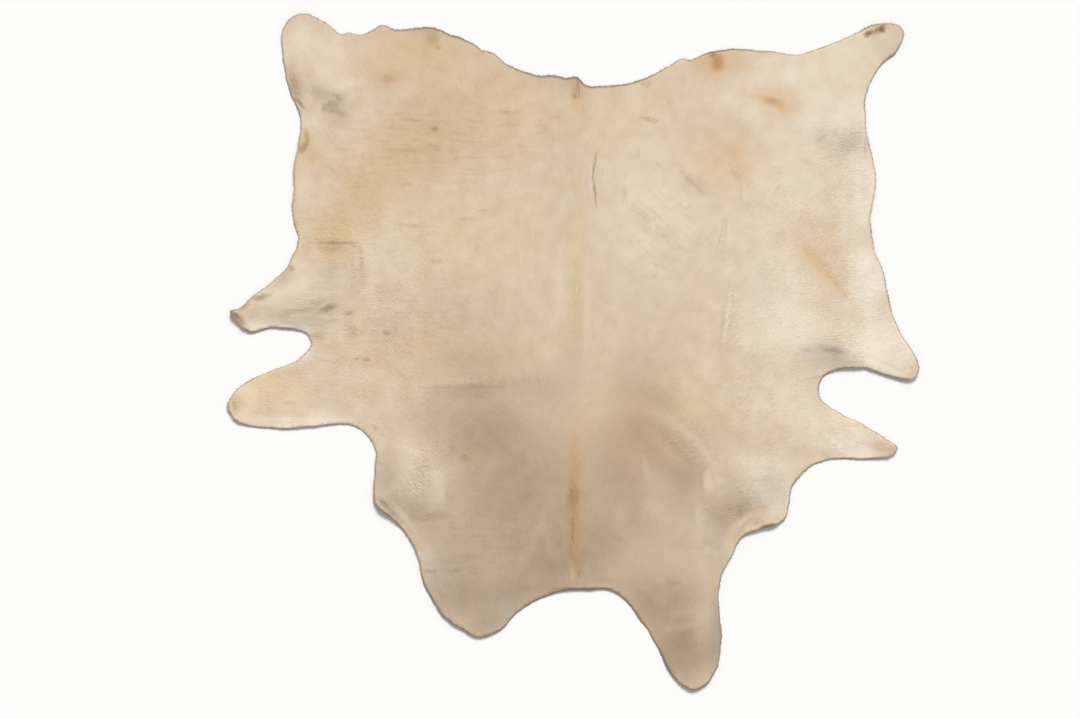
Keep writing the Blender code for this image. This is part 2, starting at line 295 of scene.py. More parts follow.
heights = np.clip(heights, 0, None) + LEATHER_THICKNESS
floor_side.free()

skin = bpy.data.meshes.new("skin")
skin.from_pydata([Vector(place) for place in np.column_stack((flat, heights))], [], faces)
if sum(face.normal.z for face in skin.polygons) < 0:
    skin.flip_normals()
skin.shade_smooth()

# ---------------------------------------------------------------------------------------------
# The lay of the coat and its broad colours. Hair grows from the backbone down the sides and towards
# the tail and feet. It is cream, paler on the belly and yellower where sun, sweat and the skin under
# it have stained it. Its darker areas are partly darker hair and partly painted shade, and some of
# its paler ones are painted light, as the tables of them say.
# ---------------------------------------------------------------------------------------------
# A row says which way the hair lies at a place, in degrees from +X, and how far that reaches.
# name, across, along, way, reach
LAY = (
    ("backbone, rump", 0, 780, 90, 220),
    ("backbone, loin", 0, 480, 90, 220),
    ("backbone, chest", 0, 150, 88, 220),
    ("backbone, neck", 0, -250, 88, 200),
    ("nape", 0, -620, 86, 180),
    ("left rump", -350, 780, 128, 240),
    ("left loin", -380, 480, 142, 260),
    ("left ribs", -420, 150, 158, 260),
    ("left neck", -300, -350, 150, 220),
    ("left cheek", -340, -760, 118, 200),
    ("left thigh", -700, 800, 120, 200),
    ("left hind shank", -860, 980, 100, 160),
    ("left hip", -560, 920, 110, 140),
    ("left flank", -780, 520, 172, 200),
    ("left flank whorl", -740, 320, 215, 120),
    ("left elbow", -760, 110, 190, 160),
    ("left upper flap", -980, 150, 205, 150),
    ("left lower flap", -950, -140, 185, 170),
    ("left brisket", -620, -180, 165, 180),
    ("left shoulder", -500, -430, 170, 170),
    ("right rump", 350, 780, 52, 240),
    ("right loin", 380, 480, 38, 260),
    ("right ribs", 420, 150, 22, 260),
    ("right neck", 300, -350, 30, 220),
    ("right cheek", 370, -850, 64, 220),
    ("right thigh", 700, 830, 50, 200),
    ("right hind shank", 950, 980, 62, 160),
    ("right flank", 780, 520, 8, 200),
    ("right flank whorl", 840, 640, -30, 110),
    ("right belly", 900, 300, 2, 180),
    ("right elbow", 760, 60, -8, 160),
    ("right upper flap", 1000, -10, -35, 150),
    ("right lower flap", 900, -280, -22, 170),
    ("right brisket", 640, -200, 12, 180),
    ("right shoulder", 560, -450, 10, 170),
)

# Where the coat departs from plain cream: by a stain, by painted light and shade, by the painted
# shade of its fine wrinkles, and by painted shade along the cut edge. A row is one patch: its middle,
# half its length and width, the turn of its length from +X, how strong it is, and how soft its edge
# is.
# name, across, along, half length, half width, turn in degrees, strength, softness
PATCHES = {
    "straw": (
        ("left lower flap", -970, -161, 154, 83, 8, 0.5, 1),
        ("middle of the back, left", -426, 389, 384, 173, 0, 0.22, 1),
        ("left brisket", -330, -27, 320, 141, 0, 0.25, 1),
        ("backbone", 6, 245, 51, 320, 0, 0.4, 1),
        ("rump, right", 150, 709, 141, 109, 0, 0.25, 1),
        ("right shoulder", 303, -180, 192, 128, 0, 0.25, 1),
        ("right side", 550, 517, 128, 141, 0, 0.25, 1),
        ("neck, middle", -68, -571, 160, 160, 0, 0.2, 1),
    ),
    # Paler hair, and partly painted light: the left pouch with its middle and lower patches, the
    # right pouch with its back, and the left shoulder lip are painted light on the rounded skin; the
    # right belly edge is paler hair made paler still against the shade of its curl; and the patches
    # named lower edge, and the flap and elbow ones named foot, are painted light against the shade of
    # the lifted lower edges.
    "pale": (
        ("left hind shank", -881, 981, 102, 90, 80, 0.45, 1),
        ("left thigh", -765, 933, 83, 109, 0, 0.3, 0.9),
        ("left flank edge, upper", -836, 716, 51, 58, 0, 0.35, 1),
        ("left loin", -580, 325, 141, 134, 0, 0.15, 1),
        ("left upper flap", -906, 217, 109, 64, 36, 0.6, 1),
        ("left lower flap", -996, -161, 154, 83, 8, 0.5, 0.8),
        ("left lower flap, root", -804, -231, 109, 51, 0, 0.6, 0.9),
        ("left elbow edge", -849, -1, 64, 45, 0, 0.6, 1),
        ("left pouch", -503, -372, 147, 102, 0, 0.28, 0.9),
        ("left shoulder lip", -561, -571, 45, 51, -55, 0.2, 0.9),
        ("right of the backbone", 246, 405, 224, 352, 0, 0.4, 1),
        ("right thigh", 655, 869, 192, 109, 0, 0.5, 0.9),
        ("right hind shank", 854, 933, 192, 109, 26, 0.45, 0.8),
        ("right thigh edge", 886, 741, 109, 160, 0, 0.6, 0.9),
        ("right flank edge", 924, 517, 109, 179, 0, 0.9, 1),
        ("right belly edge", 943, 261, 77, 102, 8, 0.95, 0.8),
        ("right flank", 646, 197, 205, 224, 0, 0.6, 0.9),
        ("right flank, upper", 694, 549, 192, 224, 0, 0.5, 1),
        ("right side", 502, 421, 160, 224, 0, 0.2, 1),
        ("right elbow", 678, 69, 179, 109, -10, 0.65, 0.9),
        ("right upper flap", 982, 21, 147, 109, -40, 0.85, 0.8),
        ("right brisket", 662, -139, 173, 128, -10, 0.4, 1),
        ("right lower flap", 841, -257, 205, 96, -20, 0.5, 0.8),
        ("right pouch", 604, -385, 115, 70, -6, 0.4, 0.8),
        ("right neck edge", 476, -715, 26, 160, 0, 0.2, 1),
        ("left cheek edge", -465, -667, 38, 83, -60, 0.3, 1),
        ("left upper flap, lower edge", -964, 76, 128, 45, -6, 0.9, 0.9),
        ("left lower flap, lower edge", -964, -244, 141, 32, 6, 0.9, 0.9),
        ("left shoulder front", -580, -564, 58, 45, -50, 0.5, 0.9),
        ("right lower flap, lower edge", 905, -327, 128, 38, -30, 0.95, 0.9),
        ("right upper flap, foot", 1014, -91, 109, 38, -20, 0.95, 0.9),
        ("right flank edge, foot", 943, 165, 51, 83, 10, 0.7, 0.9),
        ("thigh, right of the hip", 572, 773, 192, 64, -10, 0.35, 1),
        ("right whorl, above", 774, 725, 83, 96, 0, 0.6, 1),
        ("left cheek, outer", -426, -667, 70, 96, -40, 0.2, 1),
        ("left elbow, below", -861, 76, 109, 45, 0, 0.5, 1),
        ("right pouch, end", 675, -462, 64, 70, 0, 0.6, 1),
        ("right belly, foot", 879, 191, 70, 96, 0, 0.5, 1),
        ("right notch", 873, -71, 77, 64, 0, 0.4, 1),
        ("left shoulder, foot", -573, -571, 45, 45, -50, 0.5, 1),
        ("left brisket, root", -753, -244, 77, 45, 0, 0.4, 1),
        ("left pouch, middle", -439, -443, 77, 70, 0, 0.45, 1),
        ("right flank, behind", 892, 325, 51, 128, 20, 0.4, 1),
        ("left upper flap, tip foot", -1015, 82, 51, 26, 0, 0.6, 1),
        ("left elbow edge, foot", -881, 57, 70, 32, -8, 0.6, 1),
        ("left lower flap, foot", -996, -257, 160, 26, 4, 0.6, 1),
        ("right lower flap, foot", 924, -334, 109, 32, -30, 0.8, 1),
        ("right upper flap, lower edge", 982, -103, 109, 32, -8, 0.9, 1),
        ("right pouch, back", 585, -455, 77, 42, -8, 0.9, 1),
        ("right elbow, beside", 905, 5, 64, 38, -10, 0.5, 1),
        ("left pouch, lower", -516, -465, 58, 45, -12, 0.2, 1),
        ("left flank, upper", -669, 639, 64, 70, 0, 0.35, 1),
        ("right thigh, behind", 777, 799, 83, 58, 0, 0.35, 1),
    ),
    # Darker hair, partly painted shade. The neck, nape and cheeks are darker hair with painted shade
    # from the lay of their hair and their humps; the neck step foot, pouch, left shoulder edge and
    # curl, and left thigh edge patches are painted shade.
    "dusk": (
        ("back, left side", -401, 95, 141, 160, 0, 0.2, 1),
        ("middle of the back", -458, 709, 179, 160, 0, 0.14, 1),
        ("shoulders, left", -305, -65, 224, 115, 0, 0.42, 1),
        ("shoulders, right", 214, -78, 160, 115, 0, 0.3, 1),
        ("below the shoulder line", -330, -231, 230, 141, 0, 0.42, 0.75),
        ("neck, left", -260, -395, 154, 256, 0, 0.6, 0.7),
        ("neck, middle", -81, -507, 192, 352, 0, 0.65, 0.8),
        ("neck, right of the backbone", 150, -411, 147, 320, 0, 0.64, 0.9),
        ("neck, right", 265, -161, 128, 58, -10, 0.42, 1),
        ("neck step foot", 291, -318, 166, 77, -44, 0.45, 0.45),
        ("nape", -23, -705, 211, 192, 0, 0.72, 0.9),
        ("nape, right", 214, -807, 147, 141, -30, 0.62, 1),
        ("left cheek", -343, -731, 192, 224, -20, 0.62, 0.9),
        ("left cheek tip", -260, -865, 141, 70, 0, 0.45, 0.9),
        ("left shoulder", -458, -555, 160, 109, -20, 0.4, 1),
        ("left shoulder edge", -586, -404, 64, 109, 0, 0.6, 1),
        ("left pouch, edge", -458, -353, 160, 160, 0, 0.12, 1),
        ("right cheek", 342, -967, 122, 160, 10, 0.95, 1),
        ("right cheek, root", 329, -807, 160, 109, 0, 0.6, 1),
        ("right neck", 316, -603, 192, 256, 0, 0.34, 1),
        ("right pouch shadow", 502, -513, 83, 83, -30, 0.3, 0.8),
        ("neck, below", 86, -628, 77, 128, 0, 0.35, 1),
        ("neck edge, right", 476, -763, 26, 160, 0, 0.3, 1),
        ("left cheek, inner", -186, -782, 77, 70, 0, 0.6, 1),
        ("right cheek edge", 476, -916, 51, 160, 0, 0.95, 1),
        ("left hip edge", -458, 1023, 192, 45, 0, 0.35, 1),
        ("backbone, loin", 15, 485, 141, 608, 0, 0.1, 1),
        ("backbone, shoulders", -23, -129, 109, 141, 0, 0.2, 1),
        ("right pouch, crown", 550, -321, 141, 70, -10, 0.2, 1),
        ("left flank edge, foot", -919, 242, 45, 45, 0, 0.45, 1),
        ("rump edge", -10, 882, 192, 70, 0, 0.28, 1),
        ("right whorl, outer", 879, 671, 45, 51, 0, 0.25, 1),
        ("left of the backbone, chest", -234, 37, 192, 192, 0, 0.16, 1),
        ("right of the backbone, chest", 214, 133, 192, 192, 0, 0.12, 1),
        ("right side, middle", 582, 197, 96, 160, 0, 0.16, 1),
        ("left cheek, foot", -305, -801, 160, 64, 0, 0.5, 1),
        ("left pouch, foot", -477, -513, 115, 38, -6, 0.15, 1),
        ("right pouch, corner", 483, -411, 77, 70, 0, 0.3, 1),
        ("right neck edge, upper", 476, -564, 45, 77, -20, 0.3, 1),
        ("right cheek, side", 441, -955, 45, 96, 0, 0.6, 1),
        ("left thigh edge", -893, 844, 38, 77, 14, 0.35, 1),
        ("left cheek, tip edge", -298, -897, 109, 26, 0, 0.3, 1),
        ("right cheek, inner edge", 278, -955, 32, 128, 24, 0.5, 1),
        ("left shoulder curl", -567, -491, 45, 58, -50, 0.3, 1),
        ("right shoulder, front", 419, -244, 115, 70, -30, 0.28, 1),
        ("right neck, upper", 348, -436, 96, 115, 0, 0.42, 1),
        ("shoulders, middle", -100, -123, 109, 83, 0, 0.3, 1),
        ("backbone, lower", 9, 21, 64, 192, 0, 0.2, 1),
    ),
    "ochre": (
        ("left hip", -554, 933, 192, 109, 0, 0.3, 1),
        ("left hip, round the spot", -426, 953, 96, 83, 0, 0.22, 1),
        ("left loin", -506, 677, 192, 128, 0, 0.28, 1),
        ("left flank", -663, 517, 109, 192, 0, 0.36, 1),
        ("left flank, front", -554, 581, 192, 128, 0, 0.25, 1),
        ("left flank, foot", -753, 370, 83, 109, 0, 0.5, 1),
        ("left flank edge", -842, 639, 64, 83, 0, 0.25, 1),
        ("left flap root", -938, -116, 115, 77, 0, 0.35, 1),
        ("left lower flap, tip", -1066, -167, 45, 45, 0, 0.35, 1),
        ("left brisket", -554, 21, 224, 128, 0, 0.16, 1),
        ("rump", -298, 773, 288, 224, 0, 0.28, 1),
        ("right hip", 463, 914, 109, 77, 0, 0.35, 1),
        ("right thigh", 643, 799, 96, 58, -10, 0.45, 1),
        ("right thigh, below", 470, 597, 160, 128, 0, 0.22, 1),
        ("right flank", 764, 300, 102, 192, 28, 0.2, 0.9),
        ("backbone, neck", 6, -443, 58, 320, 0, 0.2, 0.9),
        ("neck, left", -298, -315, 192, 256, 0, 0.1, 1),
        ("neck, right", 214, -283, 288, 224, 0, 0.15, 1),
        ("tail root", 12, 812, 32, 64, 0, 0.5, 1),
        ("backbone, nape", 3, -603, 51, 192, 0, 0.12, 1),
        ("left upper flap tip", -1053, 101, 51, 38, 0, 0.4, 1),
        ("left lower flap", -996, -167, 96, 45, 4, 0.2, 1),
        ("right pouch, hem", 572, -539, 70, 38, 0, 0.15, 1),
    ),
    # Grey, and partly painted shade: the whorl patches, and the right pouch shadow, left shoulder
    # edge and right notch edge patches.
    "grey": (
        ("left hind whorl", -759, 793, 64, 45, 30, 0.34, 0.9),
        ("left elbow", -874, 140, 192, 70, 6, 0.26, 1),
        ("left elbow, inner", -762, 213, 96, 109, 0, 0.15, 1),
        ("left upper flap tip", -1050, 108, 64, 38, 0, 0.2, 1),
        ("right flank whorl", 809, 684, 83, 64, 0, 0.2, 0.9),
        ("right flank whorl, outer", 918, 684, 64, 70, 0, 0.1, 1),
        ("right elbow", 809, -14, 122, 70, -6, 0.3, 0.9),
        ("right notch edge", 924, -59, 109, 32, -8, 0.2, 0.9),
        ("left shoulder edge", -618, -443, 45, 96, 0, 0.3, 1),
        ("left cheek tip", -215, -833, 96, 70, 0, 0.4, 1),
        ("left cheek", -426, -731, 96, 160, 0, 0.25, 1),
        ("right cheek edge", 454, -923, 38, 160, 0, 0.5, 1),
        ("right pouch shadow", 566, -539, 83, 51, 0, 0.12, 1),
        ("right pouch", 646, -404, 128, 141, 0, 0.22, 1),
        ("right neck edge", 457, -667, 51, 147, 0, 0.3, 1),
        ("left brisket", -570, 53, 77, 160, 0, 0.16, 1),
        ("right elbow, behind", 879, 69, 64, 83, 0, 0.1, 1),
    ),
    # How strongly the painted shade of the coat's fine wrinkles shows.
    "wrinkled": (
        ("left loin", -426, 661, 416, 160, 0, 1, 0.8),
        ("left brisket", -538, 95, 288, 122, 0, 0.9, 0.9),
        ("left side", -426, 405, 352, 160, 0, 0.5, 1),
        ("left neck", -250, -587, 256, 240, 10, 0.8, 0.9),
        ("right loin", 278, 373, 192, 240, -30, 0.8, 0.9),
        ("right side", 614, 469, 160, 192, 0, 0.5, 1),
        ("rump", -42, 757, 288, 115, 0, 0.6, 1),
        ("right shoulder", 310, -155, 224, 160, 0, 0.1, 1),
        ("left flank", -714, 437, 96, 192, 0, 0.5, 1),
        ("right cheek", 310, -891, 128, 160, 0, 0.6, 1),
    ),
    # Where the painted shade along the cut edge reaches further in and is darker.
    "worn": (
        ("rump edge, left", -426, 997, 224, 128, -20, 1, 0.8),
        ("rump edge", 22, 876, 352, 83, 0, 1, 0.8),
        ("right hip edge", 470, 972, 224, 45, 0, 0.8, 1),
        ("right hind shank", 950, 1029, 96, 45, 0, 0.8, 1),
        ("left shoulder edge", -599, -507, 51, 70, 0, 0.8, 1),
        ("left flap tip", -1079, 127, 51, 45, 0, 0.8, 1),
    ),
}
# The broad colours: stains, with the painted light and shade that some of their patches are.
STAINS_AND_PAINTED_LIGHT = [name for name in PATCHES if name not in ("wrinkled", "worn")]
SPREAD = 1.25  # how far past its half length and width a soft patch or mark reaches
RAGGEDNESS = (90 * MM, 14 * MM, 5.3)  # length, depth and seed of the waves along a patch's edge
SKIN_SHADE = 0.5  # the skin is neither a dark lock, 0, nor a light one, 1
CUT_STEP = EDGE_STEP / 4  # how closely the cut is followed where the distance to it is measured

# Right of the backbone the coat's fine wrinkles slant from here on, across and along; elsewhere
# they are level.
SLANT_START = (0.0, 50 * MM)
SLANT_RUN = (250 * MM, 200 * MM)


def lay_at(points):
    """The level direction in which the hair lies at each point."""
    total = np.zeros((len(points), 3))
    for _, x, y, way, reach in LAY:
        near = np.exp(-np.sum((points - np.array((x, y)) * MM) ** 2, axis=1) / (reach * MM) ** 2)
        angle = math.radians(way)
        total += near[:, None] * np.array((math.cos(angle), math.sin(angle), 0))
    return total / np.linalg.norm(total, axis=1)[:, None]


def patch_strength_at(points, patches):
    """How strong the patches of one kind are at each point, from 0 to 1."""
    clean = np.ones(len(points))
    for _, x, y, half_length, half_width, turn, strength, softness in patches:
        angle = math.radians(turn)
        dx, dy = points[:, 0] / MM - x, points[:, 1] / MM - y
        u = (dx * math.cos(angle) + dy * math.sin(angle)) / half_length
        v = (dy * math.cos(angle) - dx * math.sin(angle)) / half_width
        share = np.clip((SPREAD - np.hypot(u, v)) / (SPREAD * softness), 0, 1)
        clean *= 1 - strength * share**2 * (3 - 2 * share)
    return 1 - clean


def set_attribute(mesh, name, kind, values):
    """Stores one value for each vertex of a mesh."""
    field = "vector" if kind == "FLOAT_VECTOR" else "value"
    attribute = mesh.attributes.new(name, kind, "POINT")
    attribute.data.foreach_set(field, np.asarray(values).ravel())


wave, depth, seed = RAGGEDNESS
ragged = np.array([noise.noise_vector(Vector((x / wave, y / wave, seed)))[:2] for x, y in flat])
ragged = flat + depth * ragged
for name, patches in PATCHES.items():
    set_attribute(skin, name, "FLOAT", patch_strength_at(ragged, patches))
slanted = np.clip((flat - SLANT_START) / SLANT_RUN, 0, 1).prod(axis=1)
set_attribute(skin, "slanted", "FLOAT", slanted)
set_attribute(skin, "lay", "FLOAT_VECTOR", lay_at(flat))
set_attribute(skin, "root", "FLOAT_VECTOR", np.column_stack((flat, heights)))
set_attribute(skin, "shade", "FLOAT", np.full(len(flat), SKIN_SHADE))
from_cut = distance_to_points(flat, evenly_spaced(cut, CUT_STEP))
set_attribute(skin, "from_cut", "FLOAT", from_cut)

# ---------------------------------------------------------------------------------------------
# Cream cow hair: keratin, nearly matt, with a soft sheen along each lock. Its small marks are dirt
# and stains, and painted light and shade along its creases, wrinkles, pouches and lifted edges.
# ---------------------------------------------------------------------------------------------
# A row is one mark: its middle, half its length and width, its turn, its colour, how strong it is,
# and how soft its edge is, from 0 to 1.
# name, across, along, half length, half width, turn, colour, strength, softness
MARKS = (
    ("left hip spot", -449, 994, 29, 32, 0, "olive", 0.42, 0.9),
    ("left hip spot, foot", -429, 969, 13, 11, 0, "ochre brown", 0.5, 0.9),
    ("left hip crescent", -586, 869, 42, 18, 0, "ochre brown", 0.34, 1),
    ("left hip crescent, peach", -593, 892, 77, 29, 0, "ochre", 0.28, 0.9),
    ("left loin spot", -442, 709, 13, 8, 10, "dark dirt and shadow", 0.4, 0.6),
    # The left thigh edge and shade marks: painted shade beside a bulge at the thigh's edge.
    ("left thigh edge", -897, 844, 70, 32, -68, "umber", 0.36, 1),
    ("left thigh shade", -826, 831, 54, 32, -20, "olive", 0.32, 1),
    ("left thigh crack", -874, 793, 32, 8, -42, "dark dirt and shadow", 0.45, 0.9),
    ("left flank crack, amber", -849, 684, 11, 29, 8, "ochre brown", 0.55, 0.9),
    ("left flank crack, dark", -861, 652, 13, 26, -30, "umber", 0.45, 0.7),
    ("left flank crack, below", -836, 613, 16, 35, 0, "ochre", 0.4, 0.9),
    # The left whorl's dark marks: painted shade round the whorl.
    ("left whorl, top", -753, 812, 26, 13, -30, "umber", 0.3, 0.9),
    ("left whorl, foot", -749, 761, 42, 11, -16, "umber", 0.26, 1),
    ("left whorl, side", -788, 783, 29, 11, 48, "umber", 0.34, 1),
    ("left whorl, patch", -765, 786, 42, 32, 40, "olive", 0.32, 1),
    ("left whorl, above", -714, 857, 58, 26, 20, "pale", 0.35, 1),
    ("loin streak, second", -516, 741, 45, 8, -4, "umber", 0.16, 0.9),
    ("loin streak, third", -516, 636, 96, 13, -3, "olive", 0.12, 0.9),
    ("loin streak, fourth", -439, 607, 45, 10, 0, "umber", 0.16, 0.9),
    ("loin streak, fifth", -689, 527, 45, 10, 4, "ochre brown", 0.2, 0.9),
    ("loin streak, sixth", -529, 533, 26, 6, 0, "umber", 0.22, 0.9),
    ("loin streak, seventh", -506, 402, 77, 8, -3, "umber", 0.12, 0.8),
    ("loin streak, eighth", -285, 449, 26, 6, 0, "umber", 0.2, 0.9),
    ("loin streak, ninth", -337, 421, 38, 8, 0, "umber", 0.16, 0.9),
    ("loin streak, tenth", -439, 287, 29, 13, 0, "umber", 0.22, 1),
    # Darker along the left flank's crease and its two turns: painted shade.
    ("left flank line", -759, 348, 86, 7, 0, "umber", 0.4, 1),
    ("left flank line, end", -692, 335, 29, 6, -32, "umber", 0.2, 1),
    ("left flank turn", -674, 293, 8, 45, 0, "umber", 0.24, 0.9),
    ("left flank second turn", -727, 261, 8, 45, 0, "umber", 0.18, 0.9),
    ("left flank stain", -778, 332, 70, 14, 0, "ochre brown", 0.28, 1),
    ("left flank edge spot", -900, 268, 14, 14, 0, "ochre brown", 0.45, 0.9),
    ("left upper flap tip", -1066, 105, 35, 14, -50, "umber", 0.5, 0.9),
    ("left upper flap tip, dark", -1079, 117, 19, 8, -45, "umber", 0.7, 0.8),
    ("left upper flap top edge", -999, 175, 38, 11, 10, "olive", 0.55, 0.8),
    ("left upper flap edge", -1047, 146, 29, 10, 48, "olive", 0.5, 0.9),
    ("left elbow spot", -778, 140, 35, 14, 20, "dark dirt and shadow", 0.5, 0.95),
    ("left elbow spot, grey", -794, 156, 51, 22, 0, "olive", 0.32, 1),
    ("left elbow second spot", -713, 125, 22, 10, 0, "umber", 0.4, 1),
    ("left notch spot", -817, 49, 29, 16, 0, "olive", 0.42, 0.9),
    ("left elbow smudge", -708, 69, 26, 29, 70, "umber", 0.22, 1),
    ("left elbow third spot", -596, 61, 16, 8, -10, "dark dirt and shadow", 0.38, 0.8),
    ("left elbow fourth spot", -660, -25, 13, 8, 0, "dark dirt and shadow", 0.36, 0.8),
    ("left elbow fifth spot", -689, -23, 16, 6, 0, "dark dirt and shadow", 0.28, 0.9),
    ("left flap streak", -900, 124, 83, 13, 12, "olive", 0.34, 1),
    ("left brisket fleck", -791, -30, 26, 6, 0, "umber", 0.2, 0.9),
    ("left lower flap fleck", -900, -164, 26, 8, -6, "umber", 0.22, 0.9),
    ("left lower flap tip", -1076, -174, 32, 35, 20, "olive", 0.3, 1),
    ("left lower flap tip, dark", -1079, -171, 11, 32, 10, "olive", 0.42, 1),
    ("left lower flap stain", -996, -196, 109, 16, 4, "ochre", 0.2, 1),
    ("left lower flap hem", -977, -225, 96, 8, 0, "pale", 0.25, 1),
    ("tail root", 15, 844, 8, 38, 0, "umber", 0.42, 0.9),
    ("tail root, stain", 6, 831, 19, 38, 0, "ochre brown", 0.3, 0.9),
    ("tail root spot", 3, 818, 6, 13, 0, "umber", 0.4, 0.8),
    # Along the loin crease: painted shade, and a painted highlight beside it.
    ("loin crease", 68, 594, 58, 5, 80, "olive", 0.7, 1),
    ("loin crease, lower", 69, 511, 61, 5, 97, "olive", 0.7, 1),
    ("loin crease, light", 56, 549, 5, 70, 0, "pale", 0.3, 1),
    ("backbone, dark stretch", 9, 204, 19, 115, 0, "umber", 0.13, 0.9),
    ("backbone, pale left side", -42, 213, 22, 134, 0, "pale", 0.4, 1),
    ("backbone, pale right side", 44, 101, 19, 192, 0, "pale", 0.2, 1),
    ("right hip stain", 454, 921, 42, 35, 0, "ochre", 0.66, 0.85),
    ("right hip stain, side", 460, 924, 22, 35, 0, "ochre brown", 0.6, 0.9),
    ("right hip stain, dark", 444, 949, 14, 13, 0, "umber", 0.55, 0.9),
    ("right hip spots", 441, 961, 14, 6, 0, "umber", 0.6, 0.8),
    ("right hip stain, tail", 527, 908, 83, 26, -10, "ochre", 0.2, 1),
    ("right rump edge spot", 230, 853, 19, 13, 0, "ochre brown", 0.35, 0.9),
    ("right thigh stain", 633, 799, 48, 19, -20, "ochre brown", 0.52, 1),
    ("right thigh stain, end", 665, 777, 32, 19, -50, "ochre", 0.45, 0.9),
    ("right thigh stain, start", 566, 818, 45, 16, -22, "ochre", 0.3, 1),
    ("right hind spots, outer", 966, 1023, 45, 16, 14, "ochre brown", 0.6, 1),
    ("right hind spots, inner", 982, 1028, 17, 10, -45, "umber", 0.85, 0.8),
    ("right hind spots, second", 943, 1015, 16, 10, 30, "umber", 0.75, 0.8),
    ("right hind spots, third", 987, 1039, 14, 5, 0, "dark dirt and shadow", 0.5, 0.8),
    ("right hind spots, fourth", 967, 1026, 6, 10, 0, "umber", 0.55, 0.8),
    # Each wrinkle mark below is painted shade along its wrinkle. The right side's light marks are
    # painted highlights on its wrinkle and line, and its dark line mark is painted shade.
    ("hip wrinkle", 246, 738, 42, 10, -14, "olive", 0.34, 0.8),
    ("rump wrinkle", 383, 533, 70, 13, -42, "olive", 0.36, 1),
    ("back wrinkle", 207, 629, 10, 26, 0, "umber", 0.14, 1),
    ("back wrinkle, second", 275, 588, 32, 8, -52, "umber", 0.16, 0.9),
    ("thigh wrinkle", 518, 565, 32, 13, -52, "umber", 0.22, 1),
    ("thigh wrinkle, foot", 537, 501, 6, 26, 0, "umber", 0.22, 0.9),
    ("thigh patch", 553, 463, 26, 22, 0, "olive", 0.22, 1),
    ("thigh stain above", 524, 613, 64, 32, -60, "ochre", 0.25, 1),
    ("loin wrinkle, first", 163, 501, 13, 29, 0, "umber", 0.14, 0.9),
    ("loin wrinkle, second", 214, 441, 45, 14, -40, "olive", 0.26, 0.9),
    ("loin wrinkle, third", 255, 373, 42, 13, -38, "umber", 0.16, 1),
    ("loin wrinkle, fourth", 367, 325, 45, 13, -14, "ochre brown", 0.16, 1),
    ("loin wrinkle, fifth", 268, 274, 29, 7, -22, "umber", 0.16, 0.9),
    ("flank wrinkle", 649, 517, 32, 7, 60, "umber", 0.16, 0.9),
    ("flank wrinkle, second", 623, 460, 38, 6, -50, "umber", 0.14, 0.9),
    ("right side wrinkle", 468, 364, 77, 6, 77, "umber", 0.16, 1),
    ("right side wrinkle, light", 495, 393, 8, 58, 0, "pale", 0.25, 1),
    ("right side line, light", 491, 114, 115, 7, 83, "pale", 0.6, 0.9),
    ("right side line, dark", 473, 95, 96, 6, 84, "umber", 0.12, 0.9),
    # The right whorl's marks: painted shade round the whorl.
    ("right whorl, middle", 793, 684, 26, 29, 30, "dark dirt and shadow", 0.16, 1),
    ("right whorl, ring", 835, 700, 19, 11, 60, "umber", 0.2, 1),
    ("right whorl, edge", 905, 693, 26, 22, 0, "umber", 0.12, 1),
    ("right thigh edge", 932, 655, 6, 38, 0, "dark dirt and shadow", 0.24, 0.8),
    ("right belly stain", 927, 517, 26, 64, 0, "olive", 0.2, 0.9),
    ("right belly smudge", 886, 517, 22, 45, 0, "umber", 0.12, 1),
    ("right whorl fleck", 742, 604, 29, 10, -20, "umber", 0.14, 1),
    ("right flank streak, upper", 764, 306, 70, 29, -55, "ochre", 0.45, 1),
    ("right flank streak", 835, 220, 96, 19, -52, "ochre", 0.4, 1),
    ("right elbow", 819, 7, 64, 16, -12, "dark dirt and shadow", 0.18, 0.95),
    ("right elbow, dark", 831, 2, 29, 14, -20, "dark dirt and shadow", 0.22, 0.9),
    ("right elbow, start", 745, 5, 29, 11, -10, "dark dirt and shadow", 0.18, 1),
    ("right elbow stain", 751, -46, 22, 19, 0, "straw", 0.5, 1),
    # A painted shadow under the lifted lower edge of the right upper flap.
    ("right upper flap edge", 1023, -78, 45, 7, -12, "umber", 0.2, 0.7),
    ("right upper flap tip", 1075, -52, 38, 35, 0, "ochre brown", 0.34, 1),
    ("right lower flap line", 947, -251, 77, 6, -31, "umber", 0.3, 0.9),
    ("right lower flap tip", 982, -302, 64, 22, -16, "ochre brown", 0.36, 0.9),
    # A painted highlight on the right lower flap's fold.
    ("right lower flap light", 828, -292, 42, 13, -40, "pale", 0.6, 1),
    ("right lower flap foot", 809, -331, 26, 10, -20, "umber", 0.14, 0.9),
    # Along the shoulder crease: painted shade on it and below it, and a painted highlight above.
    ("shoulder line", -330, -115, 154, 10, 0, "umber", 0.24, 1),
    ("shoulder band", -330, -139, 115, 22, 0, "olive", 0.14, 1),
    ("shoulder line, light", -378, -97, 128, 19, 2, "pale", 0.12, 1),
    # The neck step: a painted highlight on its upper side, and painted shade below it.
    ("neck step, light", 367, -267, 115, 16, -45, "pale", 0.28, 1),
    ("neck step, shade", 323, -292, 115, 29, -45, "umber", 0.26, 1),
    ("neck step, foot", 415, -398, 22, 51, 0, "umber", 0.14, 1),
    # The right pouch: painted highlights on its corner, crown and lip, painted shade in its hollow,
    # and a painted shadow at its edge under the lifted rim; the lip stain is ochre.
    ("right pouch, corner", 428, -417, 18, 48, 0, "pale", 0.42, 0.9),
    ("right pouch, corner top", 467, -412, 35, 13, -20, "pale", 0.24, 1),
    ("right pouch, crown", 582, -388, 83, 19, 0, "pale", 0.4, 0.9),
    ("right pouch, shade", 521, -510, 45, 26, -25, "umber", 0.42, 1),
    ("right pouch, lower shade", 476, -523, 45, 51, 0, "umber", 0.14, 1),
